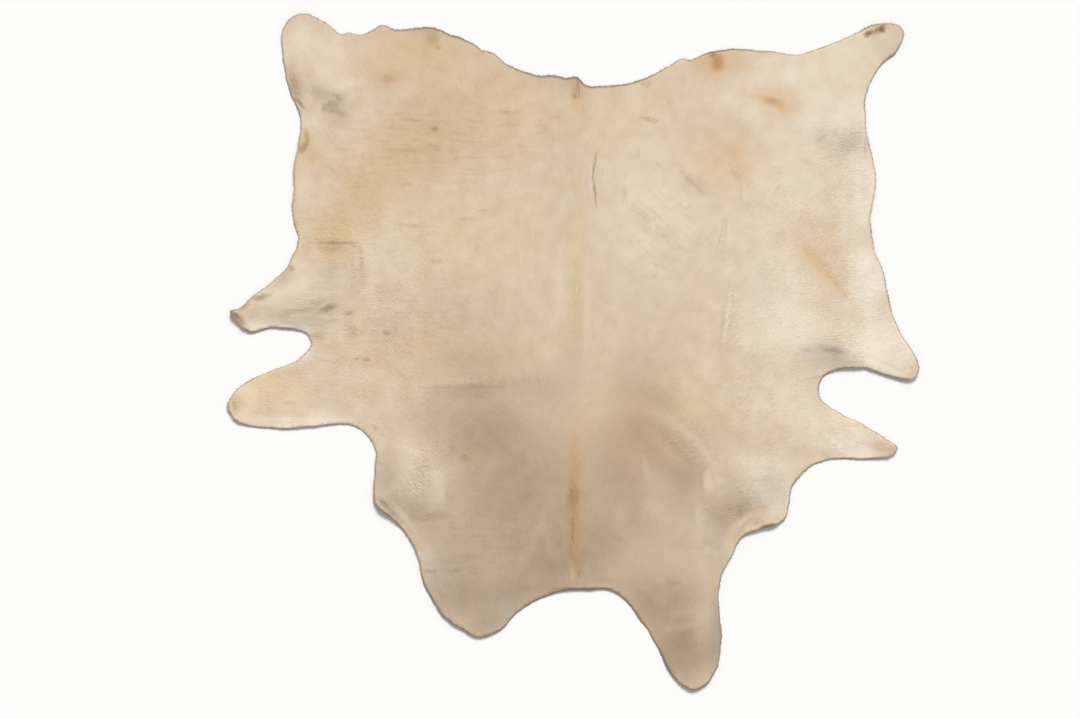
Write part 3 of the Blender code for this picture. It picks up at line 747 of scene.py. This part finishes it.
    ("right pouch, edge", 623, -555, 26, 6, 8, "dark dirt and shadow", 0.7, 0.7),
    ("right pouch, edge shade", 588, -542, 32, 16, 10, "olive", 0.35, 1),
    ("right pouch, peach lip", 540, -542, 64, 11, 38, "pale", 0.36, 1),
    ("right pouch, peach lip stain", 515, -583, 26, 10, 50, "ochre", 0.15, 0.9),
    # Along the right neck: a painted highlight on its light fold, and painted shade in its crease.
    ("right neck light", 403, -545, 26, 83, -6, "pale", 0.3, 0.9),
    ("right neck light, foot", 431, -635, 38, 16, -24, "pale", 0.2, 1),
    ("right neck crease", 374, -628, 58, 10, -12, "umber", 0.2, 1),
    ("neck fleck, light", 230, -363, 10, 64, 14, "pale", 0.12, 1),
    ("neck patch, light", 150, -510, 42, 45, 0, "pale", 0.14, 1),
    ("neck patch, light, right", 246, -500, 35, 45, 10, "pale", 0.16, 1),
    ("nape shade", 137, -596, 45, 13, -20, "umber", 0.18, 1),
    ("right nape spot", 323, -740, 29, 16, 14, "umber", 0.24, 1),
    # Darker in the right neck furrow: painted shade.
    ("right nape furrow", 230, -804, 38, 22, -45, "ochre brown", 0.3, 1),
    # A painted highlight on the raised band across the right cheek.
    ("right cheek band", 355, -881, 83, 16, 8, "pale", 0.2, 1),
    ("right cheek tip", 374, -1003, 54, 32, 0, "ochre brown", 0.16, 1),
    ("right neck edge stain", 444, -747, 13, 96, 0, "ochre", 0.3, 1),
    # The left pouch: painted highlights on its crown, top, side and shoulder lip, and painted shade
    # below its crown, in its pockets, at its foot and along the curled shoulder edge.
    ("left pouch, crown", -522, -318, 58, 19, -12, "pale", 0.42, 1),
    ("left pouch, top light", -436, -391, 42, 19, 10, "pale", 0.3, 1),
    ("left pouch, side light", -407, -436, 32, 58, 0, "pale", 0.14, 1),
    ("left pouch, crown foot", -465, -372, 35, 8, 0, "umber", 0.12, 1),
    ("left pouch, pocket", -349, -340, 22, 16, 0, "umber", 0.3, 1),
    ("left pouch, pocket left", -385, -340, 22, 10, 0, "olive", 0.12, 1),
    ("left pouch, foot", -458, -529, 86, 19, 6, "umber", 0.26, 1),
    ("left shoulder curl", -602, -484, 32, 10, -45, "umber", 0.5, 0.9),
    ("left shoulder curl, foot", -564, -526, 38, 8, -52, "umber", 0.4, 0.9),
    ("left shoulder lip", -551, -516, 54, 14, -52, "pale", 0.3, 1),
    ("left notch stain", -631, -244, 16, 16, 0, "ochre brown", 0.3, 0.9),
    # Along the left cheek's crease: painted shade.
    ("left cheek line", -458, -703, 38, 10, 0, "umber", 0.3, 1),
    ("left cheek line, right", -378, -702, 26, 10, 0, "umber", 0.24, 1),
    ("left cheek stain", -417, -782, 16, 13, 0, "ochre brown", 0.22, 1),
    ("left cheek tip", -276, -871, 70, 29, 6, "umber", 0.2, 1),
    ("left nape stain", -148, -763, 51, 11, 8, "ochre brown", 0.25, 1),
    # Painted highlights along the left neck's two raised lines.
    ("left neck line, light", -132, -619, 109, 26, 68, "pale", 0.16, 1),
    ("left neck line, right branch", -71, -625, 96, 26, -72, "pale", 0.14, 1),
    ("right nape stain", 124, -737, 96, 13, -4, "ochre brown", 0.24, 1),
    ("neck band", 3, -507, 29, 243, 0, "ochre brown", 0.36, 0.9),
    ("neck backbone, patch", 3, -465, 29, 32, 0, "ochre brown", 0.32, 0.9),
    ("neck backbone, patch dark", -1, -468, 22, 64, 0, "umber", 0.26, 1),
    ("neck backbone, middle", -1, -571, 6, 58, 0, "umber", 0.36, 1),
    ("neck backbone, lower", -7, -644, 7, 29, 0, "umber", 0.2, 1),
    ("neck backbone, foot", -4, -708, 16, 38, 0, "straw", 0.3, 1),
    ("neck backbone, foot shade", 19, -711, 8, 16, 0, "umber", 0.3, 0.9),
    # A painted shadow along the nape's lower edge, where the cut edge lies in shade.
    ("nape edge", 31, -759, 109, 6, 0, "umber", 0.5, 0.8),
)
# Some of these colours also paint light and shade: the pale one paints highlights, and darker ones
# paint shade, at the rows that say so.
HAIR_COLOURS = {
    "cream": "#D8C4A9",
    "warm cream": "#D1BA9C",
    "straw": "#DCCA98",
    "pale": "#EADCC9",
    "dusk": "#9D866E",
    "ochre": "#D0A46C",
    "grey": "#ADA096",
    "ochre brown": "#A97741",
    "umber": "#6B5440",
    # near black: dark dirt, and the painted shadow under the right pouch's lifted rim
    "dark dirt and shadow": "#3F3A35",
    "olive": "#8C7B50",
    # painted shade along the cut edge, with the leather's dark rim
    "rim_and_shade": "#6A5B49",
    # painted shade in the coat's fine wrinkles
    "wrinkle shade": "#8A6A4A",
}
ROOT_PULL = 0.25  # a mark shifts a little with the root of each lock, so it breaks up like the hair
WANDER = (30 * MM, 14 * MM)  # length and depth of the waves along a mark
SKIN_DEEP = 0.45  # a mark this strong shows between the locks too
# Noise runs from 0 to 1, but is mostly near 0.5. A span says between which of its values a change
# runs.
MOTTLE = 55 * MM  # the size of the soft blotches, from cream to warm cream
MOTTLE_SPAN = (0.35, 0.65)
UNEVEN_SPAN = (0.3, 0.7)  # the same blotches make a stain uneven,
UNEVEN = (1.15, 0.85)  # by this much more or less
# Painted shade along the cut edge, where the leather's dark rim lies in shade:
RIM_SHADE_RUN = 120 * MM  # the length of its lighter and darker stretches along the edge
RIM_SHADE_SPAN = (0.35, 0.65)
RIM_SHADE_STRENGTH = (0.45, 0.85)  # how dark its lightest and its darkest stretches are
RIM_SHADE_REACH = (5 * MM, 10 * MM)  # how far in it reaches, if plain and if deepened
DEEPER_RIM_SHADE_STRENGTH = 0.9  # how dark it is where its patches deepen it
WRINKLE = (60 * MM, 13 * MM)  # length and spacing of the coat's fine wrinkles
WRINKLE_SPAN = (0.56, 0.26)
WRINKLE_DEPTH = 0.18  # how strong the painted shade is in the deepest
WRINKLE_SLANT = math.radians(-42)
TONE_SPAN = (0.25, 0.75)
BLOTCH = 24 * MM  # the size of the small blotches
BLOTCH_TONE = (0.97, 1.03)  # how dark and light they are
HAIRS_ACROSS = 7.0  # hairs in a lock's cell: real ones are finer, drawn as wide as they still show
HAIRS_ALONG = 1.2  # and how often they change on their way
HAIRS_APART = 61.0  # how far apart two locks' hairs are read, so that no two look alike
HAIR_TONE = (0.97, 1.03)
LOCK_TONE = (0.98, 1.02)
HAIR_RELIEF = 0.12 * MM
HAIR_BUMP = 0.24
HAIR_FINISH = {
    "Roughness": 0.62, "Specular IOR Level": 0.3, "Sheen Weight": 0.12, "Sheen Roughness": 0.5,
}


def linear(hex_colour):
    """A hex sRGB colour as the linear values that a shader takes, with full alpha."""
    parts = [int(hex_colour[i:i + 2], 16) / 255 for i in (1, 3, 5)]
    return (*(c / 12.92 if c <= 0.04045 else ((c + 0.055) / 1.055) ** 2.4 for c in parts), 1)


def add(tree, kind, inputs=(), **settings):
    """Adds a node. Its inputs, by name or number, are values, or nodes or sockets to link."""
    node = tree.nodes.new(kind)
    for name, value in settings.items():
        setattr(node, name, value)
    for name, value in dict(inputs).items():
        if isinstance(value, bpy.types.Node):
            value = next(socket for socket in value.outputs if socket.enabled)
        if isinstance(value, bpy.types.NodeSocket):
            tree.links.new(value, node.inputs[name])
        else:
            node.inputs[name].default_value = value
    return node


def new_material(name, finish):
    """A plain material with these values in its shader, its node tree, and the shader."""
    material = bpy.data.materials.new(name)
    material.use_nodes = True
    shader = material.node_tree.nodes["Principled BSDF"]
    for label, value in finish.items():
        shader.inputs[label].default_value = value
    return material, material.node_tree, shader


def cow_hair(name, marks):
    """Cream cow hair with the coat's broad colours and some of its small marks."""
    material, tree, shader = new_material(name, HAIR_FINISH)
    place = add(tree, "ShaderNodeTexCoord").outputs["Object"]
    root = add(tree, "ShaderNodeAttribute", attribute_name="root").outputs["Vector"]
    shade = add(tree, "ShaderNodeAttribute", attribute_name="shade").outputs["Fac"]
    strand = add(tree, "ShaderNodeAttribute", attribute_name="lock").outputs["Vector"]

    # The cream ground and the broad stains, with the painted light and shade among them.
    mottle = add(tree, "ShaderNodeTexNoise", {"Vector": root, "Scale": 1 / MOTTLE, "Detail": 3.0})
    share = add(tree, "ShaderNodeMapRange",
                {"Value": mottle, "From Min": MOTTLE_SPAN[0], "From Max": MOTTLE_SPAN[1]})
    colour = add(tree, "ShaderNodeMix",
                 {0: share, 6: linear(HAIR_COLOURS["cream"]),
                  7: linear(HAIR_COLOURS["warm cream"])}, data_type="RGBA")
    broken = add(tree, "ShaderNodeMapRange",
                 {"Value": mottle, "From Min": UNEVEN_SPAN[0], "From Max": UNEVEN_SPAN[1],
                  "To Min": UNEVEN[0], "To Max": UNEVEN[1]})
    for stain in STAINS_AND_PAINTED_LIGHT:
        strength = add(tree, "ShaderNodeAttribute", attribute_name=stain).outputs["Fac"]
        share = add(tree, "ShaderNodeMath", {0: strength, 1: broken},
                    operation="MULTIPLY", use_clamp=True)
        colour = add(tree, "ShaderNodeMix", {0: share, 6: colour, 7: linear(HAIR_COLOURS[stain])},
                     data_type="RGBA")

    # The small marks, painted light and shade among them, each on the wavering place of its hair.
    spot = add(tree, "ShaderNodeMix", {0: ROOT_PULL, 4: place, 5: root}, data_type="VECTOR")
    wander = add(tree, "ShaderNodeTexNoise",
                 {"Vector": spot, "Scale": 1 / WANDER[0], "Detail": 2.0})
    wander = add(tree, "ShaderNodeVectorMath",
                 {0: wander.outputs["Color"], 1: (0.5, 0.5, 0.5)}, operation="SUBTRACT")
    spot = add(tree, "ShaderNodeVectorMath",
               {0: wander, 1: (WANDER[1], WANDER[1], 0.0), 2: spot}, operation="MULTIPLY_ADD")
    for _, x, y, half_length, half_width, turn, dye, strength, softness in marks:
        near = add(tree, "ShaderNodeMapping",
                   {"Vector": spot, "Location": (x * MM, y * MM, 0),
                    "Rotation": (0, 0, math.radians(turn)),
                    "Scale": (half_length * MM, half_width * MM, 1)}, vector_type="TEXTURE")
        away = add(tree, "ShaderNodeVectorMath", {0: near}, operation="LENGTH").outputs["Value"]
        share = add(tree, "ShaderNodeMapRange",
                    {"Value": away, "From Min": SPREAD, "From Max": SPREAD * (1 - softness),
                     "To Max": strength}, interpolation_type="SMOOTHSTEP")
        colour = add(tree, "ShaderNodeMix", {0: share, 6: colour, 7: linear(HAIR_COLOURS[dye])},
                     data_type="RGBA")

    # Painted shade along the cut edge, where the leather's dark rim lies in shade.
    cut_distance = add(tree, "ShaderNodeAttribute", attribute_name="from_cut").outputs["Fac"]
    rim_and_shade = add(tree, "ShaderNodeTexNoise", {"Vector": place, "Scale": 1 / RIM_SHADE_RUN})
    rim_and_shade = add(tree, "ShaderNodeMapRange",
                  {"Value": rim_and_shade, "From Min": RIM_SHADE_SPAN[0], "From Max": RIM_SHADE_SPAN[1],
                   "To Min": RIM_SHADE_STRENGTH[0], "To Max": RIM_SHADE_STRENGTH[1]})
    worn = add(tree, "ShaderNodeAttribute", attribute_name="worn").outputs["Fac"]
    rim_and_shade = add(tree, "ShaderNodeMix", {0: worn, 2: rim_and_shade, 3: DEEPER_RIM_SHADE_STRENGTH})
    reach = add(tree, "ShaderNodeMapRange",
                {"Value": worn, "To Min": RIM_SHADE_REACH[0], "To Max": RIM_SHADE_REACH[1]})
    share = add(tree, "ShaderNodeMapRange",
                {"Value": cut_distance, "From Max": reach, "To Min": rim_and_shade, "To Max": 0.0},
                interpolation_type="SMOOTHSTEP")
    colour = add(tree, "ShaderNodeMix", {0: share, 6: colour, 7: linear(HAIR_COLOURS["rim_and_shade"])},
                 data_type="RGBA")

    # Painted shade in the fine wrinkles: level ones, and slanting ones right of the backbone.
    wrinkle = []
    for slant in (0.0, WRINKLE_SLANT):
        run = add(tree, "ShaderNodeMapping",
                  {"Vector": spot, "Rotation": (0, 0, slant), "Scale": (*WRINKLE, 1)},
                  vector_type="TEXTURE")
        run = add(tree, "ShaderNodeTexNoise", {"Vector": run, "Scale": 1.0, "Detail": 2.0})
        wrinkle.append(run)
    slanted = add(tree, "ShaderNodeAttribute", attribute_name="slanted").outputs["Fac"]
    wrinkle = add(tree, "ShaderNodeMix", {0: slanted, 2: wrinkle[0], 3: wrinkle[1]})
    wrinkled = add(tree, "ShaderNodeAttribute", attribute_name="wrinkled").outputs["Fac"]
    wrinkle = add(tree, "ShaderNodeMapRange",
                  {"Value": wrinkle, "From Min": WRINKLE_SPAN[0], "From Max": WRINKLE_SPAN[1],
                   "To Min": 0.0, "To Max": WRINKLE_DEPTH}, interpolation_type="SMOOTHSTEP")
    wrinkle = add(tree, "ShaderNodeMath", {0: wrinkle, 1: wrinkled}, operation="MULTIPLY")
    colour = add(tree, "ShaderNodeMix",
                 {0: wrinkle, 6: colour, 7: linear(HAIR_COLOURS["wrinkle shade"])},
                 data_type="RGBA")

    # The tone of small blotches, of single hairs and of whole locks.
    blotch = add(tree, "ShaderNodeTexNoise", {"Vector": root, "Scale": 1 / BLOTCH, "Detail": 2.0})
    blotch = add(tree, "ShaderNodeMapRange",
                 {"Value": blotch, "From Min": TONE_SPAN[0], "From Max": TONE_SPAN[1],
                  "To Min": BLOTCH_TONE[0], "To Max": BLOTCH_TONE[1]})
    own = add(tree, "ShaderNodeMath", {0: shade, 1: HAIRS_APART}, operation="MULTIPLY")
    hairs = add(tree, "ShaderNodeVectorMath",
                {0: strand, 1: (HAIRS_ACROSS, HAIRS_ALONG, 0.0), 2: own},
                operation="MULTIPLY_ADD")
    hairs = add(tree, "ShaderNodeTexNoise", {"Vector": hairs, "Scale": 1.0, "Detail": 1.0})
    hair_tone = add(tree, "ShaderNodeMapRange",
                    {"Value": hairs, "From Min": TONE_SPAN[0], "From Max": TONE_SPAN[1],
                     "To Min": HAIR_TONE[0], "To Max": HAIR_TONE[1]})
    lock_tone = add(tree, "ShaderNodeMapRange",
                    {"Value": shade, "To Min": LOCK_TONE[0], "To Max": LOCK_TONE[1]})
    tone = add(tree, "ShaderNodeMath", {0: blotch, 1: hair_tone}, operation="MULTIPLY")
    tone = add(tree, "ShaderNodeMath", {0: tone, 1: lock_tone}, operation="MULTIPLY")
    colour = add(tree, "ShaderNodeVectorMath", {0: colour, 3: tone}, operation="SCALE")
    tree.links.new(colour.outputs[0], shader.inputs["Base Color"])
    relief = add(tree, "ShaderNodeBump",
                 {"Height": hairs, "Strength": HAIR_BUMP, "Distance": HAIR_RELIEF})
    tree.links.new(relief.outputs[0], shader.inputs["Normal"])
    return material


# Suede flesh side: the leather's inner face, sanded to a short matt nap.
NAP = 20 * MM  # the size of its darker and lighter patches
NAP_SPAN = (0.3, 0.7)
FIBRE = 2 * MM  # real ones are finer, drawn as coarse as they still show
FIBRE_RELIEF = 0.4 * MM
FIBRE_BUMP = 0.4
SUEDE_FINISH = {"Roughness": 0.92, "Specular IOR Level": 0.2}

suede, tree, shader = new_material("suede flesh side", SUEDE_FINISH)
place = add(tree, "ShaderNodeTexCoord").outputs["Object"]
nap = add(tree, "ShaderNodeTexNoise", {"Vector": place, "Scale": 1 / NAP, "Detail": 6.0})
nap = add(tree, "ShaderNodeMapRange",
          {"Value": nap, "From Min": NAP_SPAN[0], "From Max": NAP_SPAN[1]})
colour = add(tree, "ShaderNodeMix", {0: nap, 6: linear("#B79B78"), 7: linear("#D3BC9B")},
             data_type="RGBA")
tree.links.new(colour.outputs[2], shader.inputs["Base Color"])
fibres = add(tree, "ShaderNodeTexNoise", {"Vector": place, "Scale": 1 / FIBRE, "Detail": 3.0})
relief = add(tree, "ShaderNodeBump",
             {"Height": fibres, "Strength": FIBRE_BUMP, "Distance": FIBRE_RELIEF})
tree.links.new(relief.outputs[0], shader.inputs["Normal"])

# The cut edge: raw leather, rough and matt, darkened by the tan and by handling.
GRAIN = 6 * MM  # the size of its darker and lighter spots

raw_edge, tree, shader = new_material("raw cut edge of the leather", {"Roughness": 0.85})
place = add(tree, "ShaderNodeTexCoord").outputs["Object"]
grain = add(tree, "ShaderNodeTexNoise", {"Vector": place, "Scale": 1 / GRAIN, "Detail": 4.0})
colour = add(tree, "ShaderNodeMix", {0: grain, 6: linear("#5A4431"), 7: linear("#8E7253")},
             data_type="RGBA")
tree.links.new(colour.outputs[2], shader.inputs["Base Color"])

# The leather gets its thickness downwards from the skin.
leather = bpy.data.objects.new("leather", skin.copy())
bpy.context.scene.collection.objects.link(leather)
deep_marks = [mark for mark in MARKS if mark[7] >= SKIN_DEEP]
at_the_skin = cow_hair("cream cow hair at the skin", deep_marks)
leather_materials = (at_the_skin, suede, raw_edge)
for material in leather_materials:
    leather.data.materials.append(material)
body = leather.modifiers.new("thickness", "SOLIDIFY")
body.thickness = LEATHER_THICKNESS
body.offset = -1
body.material_offset = leather_materials.index(suede)
body.material_offset_rim = leather_materials.index(raw_edge)
ready = leather.evaluated_get(bpy.context.evaluated_depsgraph_get())
finished = bpy.data.meshes.new_from_object(ready)
leather.modifiers.clear()
leather.data = finished
leather.data.name = "leather"

# ---------------------------------------------------------------------------------------------
# The coat. Short straight hair in small locks, each rooted in the skin and lying along the coat
# over the next ones. It is shortest at the cut edge. It is built in four quarters.
# ---------------------------------------------------------------------------------------------
LOCK_LENGTH = 22 * MM
LOCK_WIDTH = 3.6 * MM  # real locks are finer, drawn as coarse as they still show
LOCK_RIDGE = 0.14 * MM  # how far its back stands above its sides
LOCK_WIDEST = 0.38  # where a lock is widest, as a share of its length
LOCK_SPACING = 3.6 * MM
LEAST_SIZE = (0.75, 0.8, 0.8)  # of the smallest locks: length, width and ridge, as shares
MOST_SIZE = (1.25, 1.25, 1.2)
LENGTH_AT_CUT = 0.16  # as a share
LEAST_LIFT = math.radians(0.5)  # of a lock's tip off the skin
MOST_LIFT = math.radians(1.5)
STRAY = math.radians(10)  # to either side of the lay
CLOSEST = 200000.0  # roots to a square metre before the spacing thins them
LIFT_SEED, STRAY_SEED, SIZE_SEED, SHADE_SEED = range(4)
COAT_SEED = 20

# Where a lock's four points lie in its cell of the map: its two upper faces take the left two
# thirds, and its two lower ones the rest.
UPPER_FACES = {0: (0.36, 0.04), 1: (0.04, 0.4), 2: (0.68, 0.4), 3: (0.36, 0.96)}
LOWER_FACES = {0: (0.84, 0.04), 1: (0.96, 0.4), 2: (0.72, 0.4), 3: (0.84, 0.96)}

# name, side across, side along
QUARTERS = (
    ("coat_left_rump", -1, 1),
    ("coat_right_rump", 1, 1),
    ("coat_left_shoulder", -1, -1),
    ("coat_right_shoulder", 1, -1),
)


def lock_mesh():
    """One lock of hair: a long closed wedge from its root to its tip, with a ridge on top."""
    mesh = bpy.data.meshes.new("lock")
    widest = LOCK_WIDEST * LOCK_LENGTH
    root, tip = (0, 0, 0), (LOCK_LENGTH, 0, 0)
    left = (widest, LOCK_WIDTH / 2, -LOCK_RIDGE)
    right = (widest, -LOCK_WIDTH / 2, -LOCK_RIDGE)
    upper, lower = [(0, 2, 3), (0, 3, 1)], [(0, 1, 2), (1, 3, 2)]
    mesh.from_pydata([root, left, right, tip], [], upper + lower)
    mesh.shade_flat()
    spread = mesh.uv_layers.new(name="lock")
    for face in mesh.polygons:
        cell = UPPER_FACES if face.index < len(upper) else LOWER_FACES
        for corner in face.loop_indices:
            spread.data[corner].uv = cell[mesh.loops[corner].vertex_index]
    return mesh


coat = bpy.data.node_groups.new("coat of hair", "GeometryNodeTree")
coat.is_modifier = True
coat.interface.new_socket("Geometry", in_out="OUTPUT", socket_type="NodeSocketGeometry")
for label, kind in (
    ("Geometry", "Geometry"), ("Lock", "Object"), ("Length", "Float"), ("Spacing", "Float"),
    ("Least Lift", "Float"), ("Most Lift", "Float"), ("Stray", "Float"),
    ("Middle", "Vector"), ("Side", "Vector"), ("Seed", "Int"), ("Material", "Material"),
):
    coat.interface.new_socket(label, in_out="INPUT", socket_type="NodeSocket" + kind)
given = coat.nodes.new("NodeGroupInput").outputs

# The quarter of the skin that this coat covers, and the roots of its locks.
position = add(coat, "GeometryNodeInputPosition")
from_middle = add(coat, "ShaderNodeVectorMath", {0: position, 1: given["Middle"]},
                  operation="SUBTRACT")
towards = add(coat, "ShaderNodeVectorMath", {0: from_middle, 1: given["Side"]},
              operation="MULTIPLY")
towards = add(coat, "ShaderNodeSeparateXYZ", {0: towards})
least = add(coat, "ShaderNodeMath", {0: towards.outputs["X"], 1: towards.outputs["Y"]},
            operation="MINIMUM")
chosen = add(coat, "ShaderNodeMath", {0: least, 1: 0.0}, operation="GREATER_THAN")
quarter = add(coat, "GeometryNodeSeparateGeometry",
              {"Geometry": given["Geometry"], "Selection": chosen}, domain="FACE")
roots = add(coat, "GeometryNodeDistributePointsOnFaces",
            {"Mesh": quarter, "Distance Min": given["Spacing"], "Density Max": CLOSEST,
             "Seed": given["Seed"]}, distribute_method="POISSON")

# Each root's own place, shade and number, which the lock on it keeps.
shade = add(coat, "FunctionNodeRandomValue", {2: 0.0, 3: 1.0, "Seed": SHADE_SEED},
            data_type="FLOAT")
points = roots
for name, kind, value in (
    ("root", "FLOAT_VECTOR", position),
    ("shade", "FLOAT", shade),
    ("number", "INT", add(coat, "GeometryNodeInputIndex")),
):
    points = add(coat, "GeometryNodeStoreNamedAttribute",
                 {"Geometry": points, "Name": name, "Value": value},
                 data_type=kind, domain="POINT")

# A lock points along the lay, strays a little from it and lifts its tip.
lay = add(coat, "GeometryNodeInputNamedAttribute", {"Name": "lay"}, data_type="FLOAT_VECTOR")
level = add(coat, "FunctionNodeAxesToRotation",
            {"Primary Axis": roots.outputs["Normal"], "Secondary Axis": lay},
            primary_axis="Z", secondary_axis="X")
lift = add(coat, "FunctionNodeRandomValue",
           {2: given["Least Lift"], 3: given["Most Lift"], "Seed": LIFT_SEED}, data_type="FLOAT")
lift = add(coat, "ShaderNodeMath", {0: lift, 1: -1.0}, operation="MULTIPLY")
stray = add(coat, "FunctionNodeRandomValue", {2: -1.0, 3: 1.0, "Seed": STRAY_SEED},
            data_type="FLOAT")
stray = add(coat, "ShaderNodeMath", {0: stray, 1: given["Stray"]}, operation="MULTIPLY")
turn = add(coat, "ShaderNodeCombineXYZ", {"Y": lift, "Z": stray})
turn = add(coat, "FunctionNodeEulerToRotation", {0: turn})
turn = add(coat, "FunctionNodeRotateRotation", {0: level, 1: turn}, rotation_space="LOCAL")

# Its size varies, and it is shorter near the cut edge.
size = add(coat, "FunctionNodeRandomValue", {0: LEAST_SIZE, 1: MOST_SIZE, "Seed": SIZE_SEED},
           data_type="FLOAT_VECTOR")
from_cut = add(coat, "GeometryNodeInputNamedAttribute", {"Name": "from_cut"}, data_type="FLOAT")
room = add(coat, "ShaderNodeMapRange",
           {"Value": from_cut, "From Max": given["Length"], "To Min": LENGTH_AT_CUT, "To Max": 1.0})
room = add(coat, "ShaderNodeCombineXYZ", {"X": room, "Y": 1.0, "Z": 1.0})
size = add(coat, "ShaderNodeVectorMath", {0: size, 1: room}, operation="MULTIPLY")
shape = add(coat, "GeometryNodeObjectInfo", {"Object": given["Lock"]}).outputs["Geometry"]
locks = add(coat, "GeometryNodeInstanceOnPoints",
            {"Points": points, "Instance": shape, "Rotation": turn, "Scale": size})
locks = add(coat, "GeometryNodeRealizeInstances", {"Geometry": locks})
there = add(coat, "GeometryNodeSampleNearestSurface", {"Mesh": quarter, "Value": from_cut},
            data_type="FLOAT")
locks = add(coat, "GeometryNodeStoreNamedAttribute",
            {"Geometry": locks, "Name": "from_cut", "Value": there},
            data_type="FLOAT", domain="POINT")

# Each lock has a cell of its own on the map that the finish is baked to.
count = add(coat, "GeometryNodeAttributeDomainSize", {"Geometry": points},
            component="POINTCLOUD").outputs["Point Count"]
side = add(coat, "ShaderNodeMath", {0: count}, operation="SQRT")
side = add(coat, "ShaderNodeMath", {0: side}, operation="CEIL")
number = add(coat, "GeometryNodeInputNamedAttribute", {"Name": "number"}, data_type="INT")
column = add(coat, "ShaderNodeMath", {0: number, 1: side}, operation="MODULO")
row = add(coat, "ShaderNodeMath", {0: number, 1: side}, operation="DIVIDE")
row = add(coat, "ShaderNodeMath", {0: row}, operation="FLOOR")
cell = add(coat, "ShaderNodeCombineXYZ", {"X": column, "Y": row})
spread = add(coat, "GeometryNodeInputNamedAttribute", {"Name": "lock"}, data_type="FLOAT_VECTOR")
spread = add(coat, "ShaderNodeVectorMath", {0: cell, 1: spread}, operation="ADD")
share = add(coat, "ShaderNodeMath", {0: 1.0, 1: side}, operation="DIVIDE")
spread = add(coat, "ShaderNodeVectorMath", {0: spread, "Scale": share}, operation="SCALE")
locks = add(coat, "GeometryNodeStoreNamedAttribute",
            {"Geometry": locks, "Name": "OFBake", "Value": spread},
            data_type="FLOAT2", domain="CORNER")
locks = add(coat, "GeometryNodeSetMaterial", {"Geometry": locks, "Material": given["Material"]})
coat.links.new(locks.outputs[0], coat.nodes.new("NodeGroupOutput").inputs[0])


def grown(name, sheet, tree, inputs):
    """A Geometry Nodes tree's result on a sheet, as a plain mesh object."""
    piece = bpy.data.objects.new(name, sheet)
    bpy.context.scene.collection.objects.link(piece)
    growth = piece.modifiers.new("growth", "NODES")
    growth.node_group = tree
    for item in tree.interface.items_tree:
        if item.in_out == "INPUT" and item.name in inputs:
            growth[item.identifier] = inputs[item.name]
    ready = piece.evaluated_get(bpy.context.evaluated_depsgraph_get())
    mesh = bpy.data.meshes.new_from_object(ready)
    piece.modifiers.clear()
    piece.data = mesh
    mesh.name = name
    return piece


def reaches(mark, across, along):
    """Whether a mark reaches into the quarter of the hide on these sides of its middle."""
    _, x, y, half_length, *_ = mark
    reach = SPREAD * half_length + WANDER[1] / MM
    return across * x > -reach and along * (y - middle_along / MM) > -reach


lock = bpy.data.objects.new("lock", lock_mesh())
middle_along = float(np.median(flat[:, 1]))
coats = []
for number, (name, across, along) in enumerate(QUARTERS):
    marks = [mark for mark in MARKS if reaches(mark, across, along)]
    coats.append(grown(name, skin.copy(), coat, {
        "Lock": lock,
        "Length": LOCK_LENGTH,
        "Spacing": LOCK_SPACING,
        "Least Lift": LEAST_LIFT,
        "Most Lift": MOST_LIFT,
        "Stray": STRAY,
        "Middle": (0.0, middle_along, 0.0),
        "Side": (float(across), float(along), 0.0),
        "Seed": COAT_SEED + number,
        "Material": cow_hair(name.replace("coat_", "cream cow hair, ").replace("_", " "), marks),
    }))

for piece in (leather, *coats):
    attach(piece, "root")
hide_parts("hide")
bpy.data.objects.remove(lock)

# ---------------------------------------------------------------------------------------------
# The studio: a plain pale floor, one large soft light from past the rump, and the camera above.
# ---------------------------------------------------------------------------------------------
FLOOR_SIZE = 60
FLOOR_DROP = 0.4 * MM  # so that it never shows through the underside
FLOOR_FINISH = {"Base Color": linear("#F2F1EF"), "Roughness": 0.9, "Specular IOR Level": 0.1}
KEY_STRENGTH = 3.05
KEY_WIDTH = math.radians(22)  # as wide as the light looks from the hide
KEY_DIRECTION = (-0.24, -1.0, -1.02)
ROOM_COLOUR = (0.97, 0.985, 1.0, 1)
ROOM_STRENGTH = 0.43
LENS = 85
VIEW_WIDTH = 3.456
VIEW_MIDDLE = (-0.106, -0.025)

floor_material, *_ = new_material("pale painted floor", FLOOR_FINISH)
bpy.ops.mesh.primitive_plane_add(size=FLOOR_SIZE, location=(0, 0, -FLOOR_DROP))
floor = bpy.context.object
floor.name = "floor"
floor.data.materials.append(floor_material)

key = bpy.data.objects.new("key", bpy.data.lights.new("key", "SUN"))
key.data.energy = KEY_STRENGTH
key.data.angle = KEY_WIDTH
key.rotation_euler = Vector(KEY_DIRECTION).to_track_quat("-Z", "Y").to_euler()
bpy.context.scene.collection.objects.link(key)
room = bpy.data.worlds.new("studio")
room.use_nodes = True
background = room.node_tree.nodes["Background"]
background.inputs["Color"].default_value = ROOM_COLOUR
background.inputs["Strength"].default_value = ROOM_STRENGTH
bpy.context.scene.world = room
bpy.context.scene.view_settings.view_transform = "Standard"

camera = bpy.data.objects.new("camera", bpy.data.cameras.new("camera"))
camera.data.lens = LENS
camera.location = (*VIEW_MIDDLE, VIEW_WIDTH * LENS / camera.data.sensor_width)
bpy.context.scene.collection.objects.link(camera)
bpy.context.scene.camera = camera
